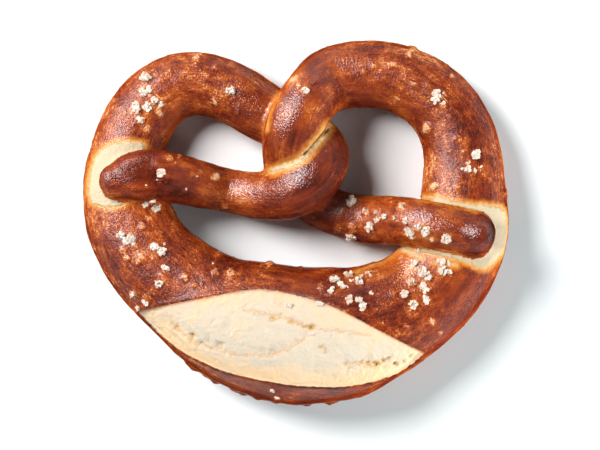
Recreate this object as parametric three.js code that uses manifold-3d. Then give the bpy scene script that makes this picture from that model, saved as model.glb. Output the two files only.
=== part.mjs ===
// A soft pretzel of lye dough. One rope, thick in the middle and thin towards both ends, is laid in a
// loop, twisted once round itself, and its two arms are pressed on to the sides of the loop. The belly
// is slashed, so that the crumb has burst out between two crust edges, and coarse salt is baked on.
// Units are millimetres and +Z is up. The tray is the plane z = 0, the belly is towards -Y and the two
// lobes towards +Y, and the origin is the middle of the underside.

import * as THREE from "three";
import { mergeVertices } from "three/addons/utils/BufferGeometryUtils.js";
import Module from "manifold-3d";

// ---- the rope ----

// Where the rope runs, as [x, y, width, lift]. Lift is how far the rope's underside is raised off the
// tray by what it lies on.
const LEFT_ARM = [
  [-61.8, 17.1, 18, 18], // the left-hand end, pressed on to the left of the loop
  [-52.3, 17.1, 18.5, 17.5],
  [-44.3, 16.3, 18.2, 13.5],
  [-35.8, 14.5, 17.2, 7], // down on to the tray
  [-26.8, 12.4, 16.3, 1.5],
  [-16.3, 10.4, 16.8, 1],
  [-7.3, 10.2, 18.3, 5.5], // up over the other arm
  [0.7, 12.3, 19.6, 10],
  [7.2, 17.9, 19.6, 10],
  [10, 25.1, 18.4, 6],
  [5.7, 31.6, 17.5, 1.5], // and back under it
  [-4.3, 36.2, 20, 0],
  [-12.7, 40.8, 21.8, 0],
  [-24, 47.6, 21.8, 0],
];
const LOOP = [
  [-35.8, 50.5, 23, 0], // top of the left lobe
  [-46.2, 48.1, 23.9, 0],
  [-54.9, 39.8, 25.2, 0],
  [-59.9, 28.6, 26.4, 0],
  [-61.7, 15.6, 29.6, 0],
  [-59.8, 1.1, 32, 0],
  [-52.2, -13.1, 34.3, 0],
  [-38.7, -24.6, 37.6, 0],
  [-26.6, -32.9, 44, 0],
  [-12.3, -37.9, 48.5, 0],
  [2.7, -40.4, 49.4, 0], // middle of the belly
  [18.2, -38.9, 47.5, 0],
  [32.2, -33.9, 41.6, 0],
  [44.2, -26.9, 37.2, 0],
  [54.1, -16.3, 35.2, 0],
  [60.1, -3.1, 32.7, 0],
  [60.5, 11.1, 31, 0],
  [60.1, 24.6, 28.4, 0],
  [56.3, 37, 26.8, 0],
  [47.8, 46.7, 25.6, 0],
  [35.9, 52.4, 24.8, 0],
  [23.7, 53.7, 24.3, 0], // top of the right lobe
];
const RIGHT_ARM = [
  [12.3, 51.4, 23.2, 1.5],
  [3.9, 43.3, 21.4, 9], // over the left arm
  [-0.3, 33.6, 21.2, 12],
  [-2.3, 24.6, 19.5, 6.5],
  [-0.8, 15.6, 17.5, 0.5], // and under it
  [7.2, 7.7, 16.4, 0],
  [15.7, 3.5, 17, 0],
  [24.7, 1.6, 17.8, 2],
  [33.7, 1.3, 17.4, 9], // up on to the right of the loop
  [42.7, 0.3, 16.6, 16],
  [52.2, -1.3, 16.2, 19.5],
  [63.2, -3.9, 16, 19], // the right-hand end
];

const SIDES = 20; // round the rope
const RING_STEP = 3.8; // along the rope
const END_ROUND = 4; // rings in a rounded end
const SEAT = 0.8; // height of a section's centre over what it rests on, in half heights
const SLIM_HEIGHT = 0.92; // height of a thin stretch as a share of its width
const SPREAD = 0.006; // how much of that a stretch loses for each mm of half width, as dough slumps
const SLAB = 20; // thickness of the slab that cuts the underside flat on the tray

// ---- the slash in the belly ----

// Its two crust edges from above, between the tips, as [x, y].
const SLASH_UPPER = [
  [-56.3, -31.4],
  [-35.3, -26.9],
  [-12.3, -23.4],
  [10.7, -28.4],
  [30.7, -38.4],
  [46.2, -45.9],
];
const SLASH_LOWER = [
  [46.2, -45.9],
  [35.7, -54.4],
  [13.7, -58.9],
  [-15.3, -55.9],
  [-37.3, -49.4],
  [-49.3, -40.9],
  [-56.3, -31.4],
];
const SLASH_STEPS = 5; // straight pieces to each span of those edges
const CRUST_LIP = 1.3; // how far the crust edges stand proud of the crumb beside them
const CRUMB_DOME = 1.3; // how far the crumb has risen in the middle of the slash
const CRUMB_FROM = 205; // stretch of the rope that the crumb fills, measured along the rope
const CRUMB_TO = 365;
const CRUMB_LEAN = 0.35; // how far the dome leans out from straight up, in radians

// Cracks across the crumb, each with its width in the middle and its route as [x, y].
const CRACKS = [
  { width: 1.6, route: [[-44.3, -36.4], [-38.3, -39.9], [-34.3, -42.9], [-26.3, -43.9]] },
  { width: 1.8, route: [[-17.3, -30.9], [-7.3, -33.4], [0.7, -35.4], [7.7, -37.9]] },
  { width: 2.6, route: [[16.7, -51.4], [23.7, -50.5], [29.7, -51.1], [40.7, -47.9]] },
];
const CRACK_DEPTH = 0.9;

// ---- coarse salt and baked-on crumbs ----

// Salt as it was sprinkled, as [x, y, spread, grains].
const SALT = [
  [-53.7, 52.4, 0, 1],
  [-53.8, 47.2, 0.5, 1],
  [-57.1, 41.6, 0.9, 2],
  [-53.2, 41.4, 0, 1],
  [-49.3, 43.4, 1.1, 2],
  [-55.7, 37.6, 0.3, 1],
  [-23.4, 47.7, 0.5, 1],
  [-47.6, 17.7, 0, 1],
  [-53.4, 6.9, 0, 1],
  [-50.4, 7.9, 0, 1],
  [-50, 5.1, 0, 1],
  [-61.7, -4.2, 0, 1],
  [-58.7, -5.2, 1.3, 3],
  [-50.3, -8.1, 0, 1],
  [-48.1, -10, 0.9, 2],
  [-46.5, -15.9, 0.5, 1],
  [-48.6, -21.4, 0, 1],
  [-58.3, -25.4, 0, 1],
  [-53.4, -28, 0, 1],
  [-56.1, -30.7, 0, 1],
  [-2.4, -29.2, 0, 1],
  [8.9, -28.3, 0, 1],
  [12.6, -23.9, 0, 1],
  [13.6, -20.1, 0.9, 2],
  [16, -21.7, 0, 1],
  [19.1, -18.4, 0, 1],
  [22.1, -20.5, 0.4, 1],
  [25, -18.2, 0.8, 1],
  [18.6, -27.1, 0, 1],
  [22.1, -27.1, 0, 1],
  [23.9, -29.2, 0.4, 1],
  [38.1, -24.9, 0, 1],
  [41.7, -29, 0, 1],
  [46.2, -27.2, 0, 1],
  [45.7, -23, 0.9, 2],
  [45.5, -18.2, 1.3, 3],
  [42.7, -14.1, 0.4, 1],
  [43.9, -9.5, 0, 1],
  [52.3, -13.6, 0.6, 2],
  [53.1, -16.8, 0.7, 2],
  [20.2, -4.8, 0.5, 1],
  [26.9, -1.3, 0, 1],
  [30.7, 2.2, 1, 2],
  [39, 1.3, 0, 1],
  [40.1, -3.1, 0, 1],
  [43.2, -1.3, 0.5, 1],
  [45.7, -3.4, 0, 1],
  [53.3, -5.2, 0.5, 1],
  [19.9, 8.4, 0.5, 2],
  [3.6, 47.4, 0, 1],
  [50.9, 44.7, 1.2, 3],
  [64.2, 24.5, 0, 1],
  [62.8, 20.1, 1.8, 3],
];
const SALT_SIZE = [1.1, 1.7]; // half widths of the smallest and the largest grain
const SALT_SUNK = 0.45; // how far a grain is sunk in the crust, in half widths

// Crumbs that caught on the front of the belly where it met the tray.
const FRINGE = { from: 236, to: 322, count: 19, size: [1.2, 2], below: 0.25, scatter: 0.3 };

const DROP_HEIGHT = 100; // from where salt falls
const SEED = 7;

// ---- colours ----

const CRUST = new THREE.MeshStandardMaterial({
  name: "lye_crust",
  color: 0x8f3f18,
  roughness: 0.38,
  metalness: 0,
});

const wasm = await Module();
wasm.setup();

// ---- the rope's centre-line and sections ----

const ROUTE = [...LEFT_ARM, ...LOOP, ...RIGHT_ARM];
const plan = smoothCurve(ROUTE.map(([x, y, , lift]) => [x, y, lift]));
const sizes = smoothCurve(ROUTE.map(([, , width]) => [width, 0, 0]));
const LENGTH = plan.getLength();

function smoothCurve(points) {
  const curve = new THREE.CatmullRomCurve3(points.map((p) => new THREE.Vector3(...p)));
  curve.curveType = "catmullrom";
  curve.arcLengthDivisions = 1500;
  return curve;
}

// Distance along the rope of the waypoint with this number.
function distanceAt(waypoint) {
  const lengths = plan.getLengths();
  const share = waypoint / (ROUTE.length - 1);
  return lengths[Math.round(share * (lengths.length - 1))];
}

// The rope's section at a distance along it: its centre, the directions across and up, and half its
// width and height. Past either end it carries straight on.
function sectionAt(distance) {
  const inside = THREE.MathUtils.clamp(distance, 0, LENGTH);
  const t = plan.getUtoTmapping(inside / LENGTH);
  const along = plan.getTangent(t);
  const halfWidth = sizes.getPoint(t).x / 2;
  const halfHeight = halfWidth * (SLIM_HEIGHT - SPREAD * halfWidth);
  const centre = plan.getPoint(t);
  centre.z = Math.max(centre.z, 0) + SEAT * halfHeight;
  centre.addScaledVector(along, distance - inside);
  const across = new THREE.Vector3(along.y, -along.x, 0).normalize();
  const up = across.clone().cross(along);
  return { centre, across, up, halfWidth, halfHeight };
}

// The point of a section at an angle from straight across to the outside of the loop, anticlockwise
// to straight up, and at a share of the way out from its centre.
function pointOn(section, angle, share = 1) {
  return section.centre
    .clone()
    .addScaledVector(section.across, share * section.halfWidth * Math.cos(angle))
    .addScaledVector(section.up, share * section.halfHeight * Math.sin(angle));
}

// A stretch of the rope. It is rolled as a straight spindle, and then bent along the centre-line.
// Swell gives how much fatter the rope is at a distance and an angle.
function rope(from, to, { roundStart = false, roundEnd = false, swell = () => 1 } = {}) {
  const profile = [new THREE.Vector2(0, from), ...spindle(from, to), new THREE.Vector2(0, to)];
  if (roundStart) profile.splice(0, 1, ...roundedEnd(from, -1));
  if (roundEnd) profile.splice(-1, 1, ...roundedEnd(to, 1).reverse());
  const geometry = new THREE.LatheGeometry(profile, SIDES);
  const position = geometry.attributes.position;
  const point = new THREE.Vector3();
  for (let i = 0; i < position.count; i++) {
    point.fromBufferAttribute(position, i);
    const angle = Math.atan2(point.z, point.x);
    const share = Math.hypot(point.x, point.z) * swell(point.y, angle);
    const placed = pointOn(sectionAt(point.y), angle, share);
    position.setXYZ(i, placed.x, placed.y, placed.z);
  }
  return solid(geometry);
}

// The even part of a spindle's profile, a ring for each step.
function spindle(from, to) {
  const steps = Math.round((to - from) / RING_STEP);
  const ring = (_, i) => new THREE.Vector2(1, from + ((to - from) * i) / steps);
  return Array.from({ length: steps + 1 }, ring);
}

// A rounded end of a spindle, from its tip inwards.
function roundedEnd(end, direction) {
  const radius = sectionAt(end).halfWidth;
  const ring = (_, i) => {
    const angle = (Math.PI / 2) * (1 - i / END_ROUND);
    const share = i === 0 ? 0 : Math.cos(angle);
    return new THREE.Vector2(share, end + direction * radius * Math.sin(angle));
  };
  return Array.from({ length: END_ROUND }, ring);
}

// ---- geometry as solids ----

// A closed three.js geometry as a solid, turned the right way out.
function solid(geometry) {
  const bare = new THREE.BufferGeometry();
  bare.setAttribute("position", geometry.attributes.position);
  bare.setIndex(geometry.index);
  const merged = mergeVertices(bare, 1e-4);
  const corners = new Uint32Array(withoutSlivers(merged.index.array));
  const build = () =>
    new wasm.Manifold(
      new wasm.Mesh({
        numProp: 3,
        vertProperties: merged.attributes.position.array,
        triVerts: corners,
      }),
    );
  const made = build();
  if (made.volume() > 0) return made;
  for (let i = 0; i < corners.length; i += 3) {
    [corners[i + 1], corners[i + 2]] = [corners[i + 2], corners[i + 1]];
  }
  return build();
}

// Leaves out triangles that a pole or a merged seam has closed up.
function withoutSlivers(index) {
  const kept = [];
  for (let i = 0; i < index.length; i += 3) {
    const [a, b, c] = index.subarray(i, i + 3);
    if (a !== b && b !== c && c !== a) kept.push(a, b, c);
  }
  return kept;
}

function geometryOf(made) {
  const mesh = made.getMesh();
  const geometry = new THREE.BufferGeometry();
  geometry.setAttribute("position", new THREE.BufferAttribute(mesh.vertProperties, 3));
  geometry.setIndex(new THREE.BufferAttribute(mesh.triVerts, 1));
  geometry.computeVertexNormals();
  return geometry;
}

// ---- the slash ----

// The crumb is the belly a lip's depth down, risen again into a dome in the middle. Sunk takes it a
// further depth down.
function crumb(sunk = 0) {
  const swell = (distance, angle) => {
    const { halfWidth } = sectionAt(distance);
    const lean = Math.PI / 2 - CRUMB_LEAN;
    const across = Math.max(Math.cos(angle - lean), 0) ** 2;
    const along = Math.sin((Math.PI * (distance - CRUMB_FROM)) / (CRUMB_TO - CRUMB_FROM));
    return 1 + (CRUMB_DOME * across * along - CRUST_LIP - sunk) / halfWidth;
  };
  return rope(CRUMB_FROM, CRUMB_TO, { swell });
}

// Points along a smooth line through the given ones, without the last.
function smoothLine(points) {
  const curve = new THREE.SplineCurve(points.map((p) => new THREE.Vector2(...p)));
  return curve.getPoints(SLASH_STEPS * (points.length - 1)).slice(0, -1);
}

function slashOutline() {
  return [...smoothLine(SLASH_UPPER), ...smoothLine(SLASH_LOWER)];
}

// A crack is pointed at both ends and widest in the middle.
function crackOutline({ width, route }) {
  const line = smoothLine(route);
  const side = (sign) => (point, i) => {
    const next = line[Math.min(i + 1, line.length - 1)];
    const last = line[Math.max(i - 1, 0)];
    const out = new THREE.Vector2(last.y - next.y, next.x - last.x).normalize();
    const reach = (sign * width * Math.sin((Math.PI * i) / (line.length - 1))) / 2;
    return point.clone().addScaledVector(out, reach);
  };
  return [...line.map(side(1)), ...line.map(side(-1)).slice(1, -1).reverse()];
}

// Takes out of the dough what stands above a floor, within an outline seen from above.
function openUp(dough, outline, floor) {
  const shape = new THREE.Shape(outline);
  const block = new THREE.ExtrudeGeometry(shape, { depth: DROP_HEIGHT, bevelEnabled: false });
  const bottom = sectionAt((CRUMB_FROM + CRUMB_TO) / 2).centre.z;
  return dough.subtract(solid(block.translate(0, 0, bottom)).subtract(floor));
}

function slash(dough) {
  const split = openUp(dough, slashOutline(), crumb());
  const deeper = crumb(CRACK_DEPTH);
  return CRACKS.reduce((whole, crack) => openUp(whole, crackOutline(crack), deeper), split);
}

// ---- salt and crumbs ----

function between([low, high]) {
  return THREE.MathUtils.lerp(low, high, THREE.MathUtils.seededRandom());
}

// One rough grain: twenty faces, squashed a little and turned at random.
function grain(place, halfWidth) {
  const turn = new THREE.Euler(between([0, Math.PI]), between([0, Math.PI]), between([0, Math.PI]));
  const geometry = new THREE.IcosahedronGeometry(halfWidth, 0);
  geometry.scale(1, between([0.75, 1]), between([0.65, 0.9]));
  geometry.applyMatrix4(new THREE.Matrix4().makeRotationFromEuler(turn));
  geometry.translate(place.x, place.y, place.z);
  return solid(geometry);
}

// Drops each pinch of salt from above, on to whatever part of the dough lies below.
function sprinkleSalt(dough) {
  const surface = new THREE.Mesh(geometryOf(dough));
  const down = new THREE.Vector3(0, 0, -1);
  const grains = [];
  for (const [x, y, spread, count] of SALT) {
    for (let i = 0; i < count; i++) {
      const turn = between([0, 2 * Math.PI]);
      const reach = spread * Math.sqrt(between([0, 1]));
      const halfWidth = between(SALT_SIZE);
      const from = new THREE.Vector3(x + reach * Math.cos(turn), y + reach * Math.sin(turn), DROP_HEIGHT);
      const [hit] = new THREE.Raycaster(from, down).intersectObject(surface);
      const proud = hit.point.addScaledVector(hit.face.normal, (1 - SALT_SUNK) * halfWidth);
      grains.push(grain(proud, halfWidth));
    }
  }
  return grains;
}

// Small lumps along the front of the belly, a little below its widest line.
function fringe() {
  const { from, to, count, size, below, scatter } = FRINGE;
  const lump = (_, i) => {
    const distance = from + ((to - from) * (i + between([0, 1]))) / count;
    const angle = -below + between([-scatter, scatter]);
    return grain(pointOn(sectionAt(distance), angle), between(size));
  };
  return Array.from({ length: count }, lump);
}

// ---- the pretzel ----

function bakePretzel() {
  const loopStart = distanceAt(LEFT_ARM.length);
  const loopEnd = distanceAt(LEFT_ARM.length + LOOP.length - 1);
  const leftArm = rope(0, loopStart, { roundStart: true });
  const loop = rope(loopStart, loopEnd);
  const rightArm = rope(loopEnd, LENGTH, { roundEnd: true });
  const dough = leftArm.add(slash(loop)).add(rightArm);

  THREE.MathUtils.seededRandom(SEED);
  const bits = [...sprinkleSalt(dough), ...fringe()];
  const topped = bits.reduce((whole, bit) => whole.add(bit), dough);

  const slab = new THREE.BoxGeometry(4 * DROP_HEIGHT, 4 * DROP_HEIGHT, SLAB);
  return topped.subtract(solid(slab.translate(0, 0, -SLAB / 2)));
}

const pretzel = new THREE.Mesh(geometryOf(bakePretzel()), CRUST);
pretzel.name = "pretzel";

const part = new THREE.Group();
part.add(pretzel);

export default part;
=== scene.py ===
# A soft pretzel of lye dough. One rope, thick in the belly and thin in the arms, is looped, twisted once
# round itself and pressed back on to the loop. The belly is slashed, and coarse salt is baked on.
# Lengths are millimetres until a finished mesh is scaled to metres. +Z is up, the belly is towards -Y
# and the origin is the middle of the flat underside.

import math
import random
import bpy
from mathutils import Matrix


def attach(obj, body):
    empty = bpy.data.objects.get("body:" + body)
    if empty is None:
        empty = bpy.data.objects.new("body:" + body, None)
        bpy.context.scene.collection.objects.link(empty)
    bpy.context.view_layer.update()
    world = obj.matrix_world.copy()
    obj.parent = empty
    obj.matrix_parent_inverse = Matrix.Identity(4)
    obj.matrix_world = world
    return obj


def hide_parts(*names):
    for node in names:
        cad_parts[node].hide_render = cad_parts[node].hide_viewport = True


bl_info = {
    "name": "Soft pretzel",
    "version": (1, 0, 0),
    "blender": (4, 5, 0),
    "location": "3D View > Sidebar > Pretzel",
    "description": "Bakes a slashed and salted soft pretzel around its packed solid",
    "category": "Add Mesh",
}

import bmesh
import bpy
import numpy as np
from bpy.props import FloatProperty, FloatVectorProperty, IntProperty, PointerProperty
from mathutils import Euler, Matrix, Vector, noise
from mathutils.bvhtree import BVHTree

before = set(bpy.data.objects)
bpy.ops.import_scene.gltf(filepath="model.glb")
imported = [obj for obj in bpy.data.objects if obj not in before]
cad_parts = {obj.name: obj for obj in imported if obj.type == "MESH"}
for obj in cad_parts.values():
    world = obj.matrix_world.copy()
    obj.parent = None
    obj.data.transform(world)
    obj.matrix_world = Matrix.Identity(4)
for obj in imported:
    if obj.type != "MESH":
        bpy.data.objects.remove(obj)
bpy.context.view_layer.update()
MM = 0.001

# ---- the rope ----

# Where the rope runs, as [x, y, width, lift]. Lift is how far the rope's underside is raised off the
# tray by what it lies on. The left arm ends with the left lobe, and the right arm starts from the right.
ROUTE = [
    [-63.9, 14.9, 13.0, 19.2],  # the left-hand end, pressed on to the left of the loop
    [-58.2, 16.4, 17.4, 18.2],
    [-51.3, 17.1, 18.5, 17.3],
    [-44.3, 16.3, 18.2, 13.5],
    [-35.8, 14.5, 17.2, 7],  # down on to the tray
    [-26.8, 12.4, 16.3, 0.8],
    [-16.3, 10.4, 16.8, 2.6],
    [-7.3, 10.2, 18.3, 6.2],  # up over the other arm
    [0.7, 12.3, 19.6, 10],
    [7.2, 17.9, 19.6, 10],
    [10, 25.1, 18.4, 6],
    [5.7, 31.6, 17.5, 1.5],  # and back under it
    [-4.3, 36.2, 20, 0],
    [-12.7, 40.8, 21.8, 0],
    [-24, 47.6, 21.8, 0],
    [-35.8, 50.5, 23, 0],  # top of the left lobe
    [-46.2, 48.1, 23.9, 0],
    [-54.9, 39.8, 25.2, 0],
    [-59.9, 28.6, 26.4, 0],
    [-61.7, 15.6, 29.6, 0],
    [-59.8, 1.1, 32, 0],
    [-52.2, -13.1, 34.3, 0],
    [-38.7, -24.6, 37.6, 0],
    [-26.6, -32.9, 44, 0],
    [-12.3, -37.9, 48.5, 0],
    [2.7, -40.4, 49.4, 0],  # middle of the belly
    [18.2, -38.9, 47.5, 0],
    [32.2, -33.9, 41.6, 0],
    [44.2, -26.9, 37.2, 0],
    [54.1, -16.3, 35.2, 0],
    [60.1, -3.1, 32.7, 0],
    [60.5, 11.1, 31, 0],
    [60.1, 24.6, 28.4, 0],
    [56.3, 37, 26.8, 0],
    [47.8, 46.7, 25.6, 0],
    [35.9, 52.4, 24.8, 0],
    [23.7, 53.7, 24.3, 0],  # top of the right lobe
    [12.3, 51.4, 23.2, 1.5],
    [3.9, 43.3, 21.4, 10.6],  # over the left arm
    [-0.3, 33.6, 21.2, 11.6],
    [-2.3, 24.6, 19.5, 6.5],
    [-0.8, 15.6, 17.5, 0.5],  # and under it
    [7.2, 7.7, 16.4, 0],
    [15.7, 3.5, 17, 0],
    [24.7, 1.6, 17.6, 0.5],
    [33.7, 1.3, 17.2, 7],  # up on to the right of the loop
    [42.7, 0.3, 16.6, 16],
    [52.2, -1.3, 16.2, 19.5],
    [63.2, -3.9, 16, 19],  # the right-hand end
]
SEAT = 0.8  # height of a section's centre over what it rests on, in half heights
SLIM_HEIGHT = 0.92  # height of a thin stretch as a share of its width
SPREAD = 0.006  # how much of that a stretch loses for each mm of half width, as dough slumps
SAMPLES = 30  # samples of the centre-line to each span of the route
SIDES = 56
RING_STEP = 1.3
APART = 40.0  # stretches of the rope further apart than this count as different when they touch
TOUCHING = 1.6  # how near another stretch of the rope the dough has proved together with it
SMOOTHINGS = (2, 6)  # how often the whole skin, and then such seams, are smoothed
TRAY_ROUNDING = 0.6  # radius with which the sides meet the flat underside

# Bumps in the skin, as [height, size of the bumps, seed].
ROPE_WAVES = [[1, 15, 1], [0.35, 5, 2]]  # in shares of the rope's waviness
CRUST_WAVES = [[0.1, 4, 6], [0.05, 1.8, 10]]
CRUMB_WAVES = [[0.4, 3.4, 11], [0.26, 1.5, 4]]

# Where the top was pressed flat and where it swelled, as [x, y, reach, height over the tray or rise].
PRESSED = [[-59, 16, 14, 29.8]]
SWOLLEN = [[67, -4.2, 10, 2.9]]
SWELL_HEIGHTS = (20, 29)  # what is lower stays as it is, and what is higher swells fully

# ---- the slash in the belly ----

# Its two crust edges from above, between the tips.
SLASH_UPPER = [[-56.3, -31.4], [-35.3, -26.9], [-12.3, -23.4], [10.7, -28.4], [30.7, -38.4], [46.2, -46.4]]
SLASH_LOWER = [
    [46.2, -46.4],
    [35.7, -53.9],
    [13.7, -58.2],
    [-15.3, -55.2],
    [-36.5, -48.2],
    [-48.2, -39.8],
    [-56.3, -31.4],
]
CRUMB_SPAN = (205.0, 365.0)  # stretch of the rope that the crumb fills
CRUMB_LEAN = 0.35  # how far the crumb's dome leans out from straight up, in radians

# Cracks and rows of pits in the crumb: width, depth, and the route from above.
CRACKS = [
    (1.9, 0.45, [[-44.3, -36.4], [-41.5, -38.9], [-38.3, -40.6], [-34.3, -43.2], [-29, -43.9]]),
    (1.5, 0.35, [[-17.3, -30.9], [-12.5, -32.2], [-7.3, -33.4], [-3, -34.2], [0.7, -35.4], [7.7, -37.9]]),
    (2.2, 0.5, [[-1, -34.4], [2, -35.6], [5.4, -36.8]]),
    (2.2, 0.6, [[18.7, -51.4], [23.7, -50.5], [29.7, -51.1], [33.5, -49.4]]),
    (1.5, 0.5, [[36, -51.4], [40, -49.8], [44, -47.6]]),
    (1.6, 0.4, [[8.5, -44.0], [10.5, -45.4]]),
]

# Where one layer of the crumb laps over the one above it: step, and the route from left to right.
LEDGES = [
    (0.55, [[-47.8, -34.2], [-42.4, -38.5], [-35.6, -43.2], [-30.2, -44.6], [-20.1, -46.7],
            [-10.1, -47], [-3.2, -44.9], [2.2, -41.7], [7.2, -38.4]]),
    (0.4, [[-21, -29.4], [-12, -31.5], [-5, -33.2], [2, -35.4], [8, -37.6], [20, -38.6], [30, -41]]),
    (0.5, [[12, -48], [18, -50.2], [25, -49.8], [31, -49.4], [35.5, -47.8]]),
]
LEDGE_REACH = 3.5  # how far from a ledge the crumb is raised or sunk

# Holes where bubbles in the crumb tore open, as [x, y, radius, depth, darkness]. The darkness is painted
# shade at the bottom of each hole.
PITS = [
    [-42.9, -37.1, 1.3, 0.5, 0.7],
    [-36.9, -40.0, 1.1, 0.6, 1.0],
    [-33.6, -42.3, 0.6, 0.4, 0.9],
    [-30.7, -41.7, 1.5, 0.4, 0.35],
    [-26.8, -43.2, 1.8, 0.45, 0.4],
    [-18.3, -30.3, 1.1, 0.3, 0.45],
    [-14.4, -32.3, 1.0, 0.25, 0.4],
    [-8.4, -33.4, 1.6, 0.45, 0.6],
    [-5.0, -32.0, 0.9, 0.35, 0.5],
    [-1.7, -34.7, 1.8, 0.5, 0.6],
    [1.5, -35.5, 1.2, 0.45, 0.7],
    [5.4, -36.5, 1.7, 0.6, 0.9],
    [3.4, -36.3, 1.0, 0.5, 0.9],
    [10.2, -44.4, 0.9, 0.5, 0.7],
    [8.9, -43.5, 0.8, 0.4, 0.6],
    [12.4, -39.7, 0.9, 0.2, 0.35],
    [19.1, -39.4, 0.9, 0.2, 0.35],
    [17.9, -49.6, 1.0, 0.35, 0.45],
    [20.6, -49.0, 0.9, 0.35, 0.45],
    [23.4, -49.0, 1.4, 0.5, 0.6],
    [25.9, -49.5, 1.2, 0.55, 0.8],
    [28.8, -50.2, 1.4, 0.7, 1.0],
    [31.3, -48.8, 1.3, 0.6, 0.7],
    [33.0, -47.8, 1.1, 0.5, 0.6],
    [35.8, -50.3, 1.1, 0.6, 1.0],
    [38.6, -49.5, 0.9, 0.5, 0.7],
    [41.5, -47.7, 0.9, 0.5, 0.7],
    [-15.1, -44.0, 1.8, 0.25, 0.25],
    [-11.9, -44.7, 1.8, 0.3, 0.3],
    [-8.4, -45.0, 1.8, 0.3, 0.3],
    [-5.2, -43.6, 1.4, 0.3, 0.35],
]

# ---- pale dough ----

# Where the arm ends kept the lye off the loop, from above: round the left-hand end, and the right-hand.
PALE_PATCHES = [
    [[-73.2, 7.4], [-74.2, 12], [-73.6, 18], [-71.6, 24.2], [-67.6, 27.4], [-61.9, 29.0], [-57.0, 28.8],
     [-54.0, 26.6], [-55.4, 14], [-60.0, 8.2], [-63.0, 6.2], [-68.0, 5.9]],
    [[50, 10], [55.5, 8.0], [62.7, 6.6], [69.2, 6.2], [74.4, 4.6], [75.8, -2.4], [74.6, -9.6], [69.8, -14.6],
     [66.3, -16.0], [60.2, -13.6], [54.4, -12.2], [48.3, -10.6], [44.9, -9.6], [44.9, -4.2]],
]
ARM_ENDS = (75, 70)  # stretches at the rope's two ends, which are above the patches and have a crust
# Where the twist stretched the crust open as the dough rose: half width, and the route from above.
PALE_SEAMS = [
    (-0.6, [[-6.4, 46.3], [-8.4, 42.4], [-9.7, 37.6], [-10.4, 33.2]]),
    (0.9, [[-8.2, 19.0], [-4, 20.2], [1.5, 22.4], [4.2, 24.6]]),
    (0.35, [[3, 23.6], [5.1, 25.6], [8.7, 29.4], [11.4, 32.6], [12.2, 35.2]]),
    (0.35, [[2.6, 24.4], [5.4, 27.2], [8.6, 31.0], [11.2, 34.6]]),
    (0.1, [[43.5, 9.4], [46.4, 9.2], [50.4, 8.5], [55, 7.6], [59.7, 6.4], [64, 5.2]]),
    (0.6, [[38.5, -9.0], [41, -10.2], [44, -11.4]]),
    (0.0, [[49, -13.9], [53, -14.2], [57, -15]]),
    (-0.8, [[20.4, -18.1], [24.7, -16.0], [28.3, -14.6], [32.0, -13.2], [34.5, -11.7], [36.7, -9.9]]),
]
# How far up the skin faces, as its normal's height, where bare dough ends and where it is whole, and
# how far it draws back between them.
FLANK_FACING = (-0.25, 0.35)
FLANK_FADE = 12.0
SPLIT = [[3, 24.4], [6, 26.9], [9.0, 30.2], [11.8, 33.8]]  # torn open along the second seam
SPLIT_DEPTH = 0.6
SPLIT_WIDTH = 1.1  # on either side
SPLIT_AWAY = 9.0  # stands for its distance from what faces down
FAR = 20.0  # stands for far from a seam or from bare dough, in what the material reads

# Where the crust is darker (above 0) or lighter, as [x, y, reach, amount]. Where a row lies on bare dough,
# the same amount darkens the dough as painted shade. The rows about [54, -13] and [66 to 76, -13 to 7] do
# this on the right-hand patch, which faces away from the key light.
BROWNING_AND_SHADE = [
    [-55, 17, 13, 0.6],
    [-43, 13, 8, 0.5],
    [-36, 14, 4, 0.2],
    [-33, 19.5, 5, -0.3],
    [-20, 12, 7, -0.1],
    [-17, 17.5, 6, -0.45],
    [-20, 6, 6, -0.3],
    [-8, 4, 6, 0.1],
    [12, 19, 8, 0.75],
    [5, 10, 9, 0.6],
    [0, 25, 8, 0.15],
    [-4, 34, 7, 0.15],
    [-38, 41, 8, 0.15],
    [-30, 39, 6, 0.1],
    [-58, 37, 10, -0.25],
    [-20, 45, 8, 0.1],
    [-16, 34, 5, -0.2],
    [-70, 30, 8, -0.3],
    [-71, 2, 7, -0.25],
    [-60, 3, 8, -0.25],
    [-66, -7, 8, 0.25],
    [-42, -6, 7, 0.25],
    [-38, -14, 10, 0.15],
    [-50, -30, 7, 0.1],
    [64, 36, 12, 0.4],
    [58, 44, 9, 0.15],
    [46, 22, 6, -0.45],
    [44, 13, 6, -0.45],
    [38, -13, 9, -0.75],
    [52, -17, 5, -0.3],
    [54, -13, 4, 0.4],
    [-43, 36, 7, 0.1],
    [-41, 52, 7, -0.3],
    [-32, 13.5, 5, -0.2],
    [-20, -18, 7, 0.25],
    [30, -16, 8, -0.15],
    [62, -22, 9, 0.3],
    [66, -16, 6, 0.2],
    [56, -34, 9, 0.15],
    [20, -2, 5, -0.35],
    [22, 6, 5, -0.3],
    [34, -6, 5, 0.1],
    [69, -4, 5, 0.85],
    [66, 0, 5, 0.3],
    [76, -5, 6, 1.2],
    [66, -13, 5, 0.5],
    [70, 7, 5, 0.4],
    [20, 44, 9, 0.2],
    [0, 51, 4, -0.5],
    [0, -62, 40, 0.45],
    [1, -20, 8, 0.15],
    [28, -30, 8, 0.45],
    [-62, -22, 7, 0.45],
    [20, -26, 10, 0.15],
]

# Where stretched dough baked smooth, with little grain, as [x, y, reach].
SMOOTH = [
    [-56, 17, 15],
    [-38, 14, 12],
    [-20, 11, 9],
    [4, 13, 14],
    [10, 26, 10],
    [-4, 34, 12],
    [2, 46, 8],
    [66, -3, 9],
    [20, -24, 6],
    [36, -14, 9],
    [30, 2, 8],
    [44, 0, 9],
    [55, -2, 9],
    [4, -20, 8],
    [60, -28, 13],
    [52, -38, 8],
    [-42, 37, 8],
    [-13, 40, 10],
    [-20, 57, 7],
    [9, 58, 9],
    [26, 43, 9],
    [40, 40, 6],
    [10, -64, 14],
    [-20, -62, 12],
]

# Where the glaze baked dull, as [x, y, reach].
DULL = [[-53, 15.5, 11]]
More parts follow.
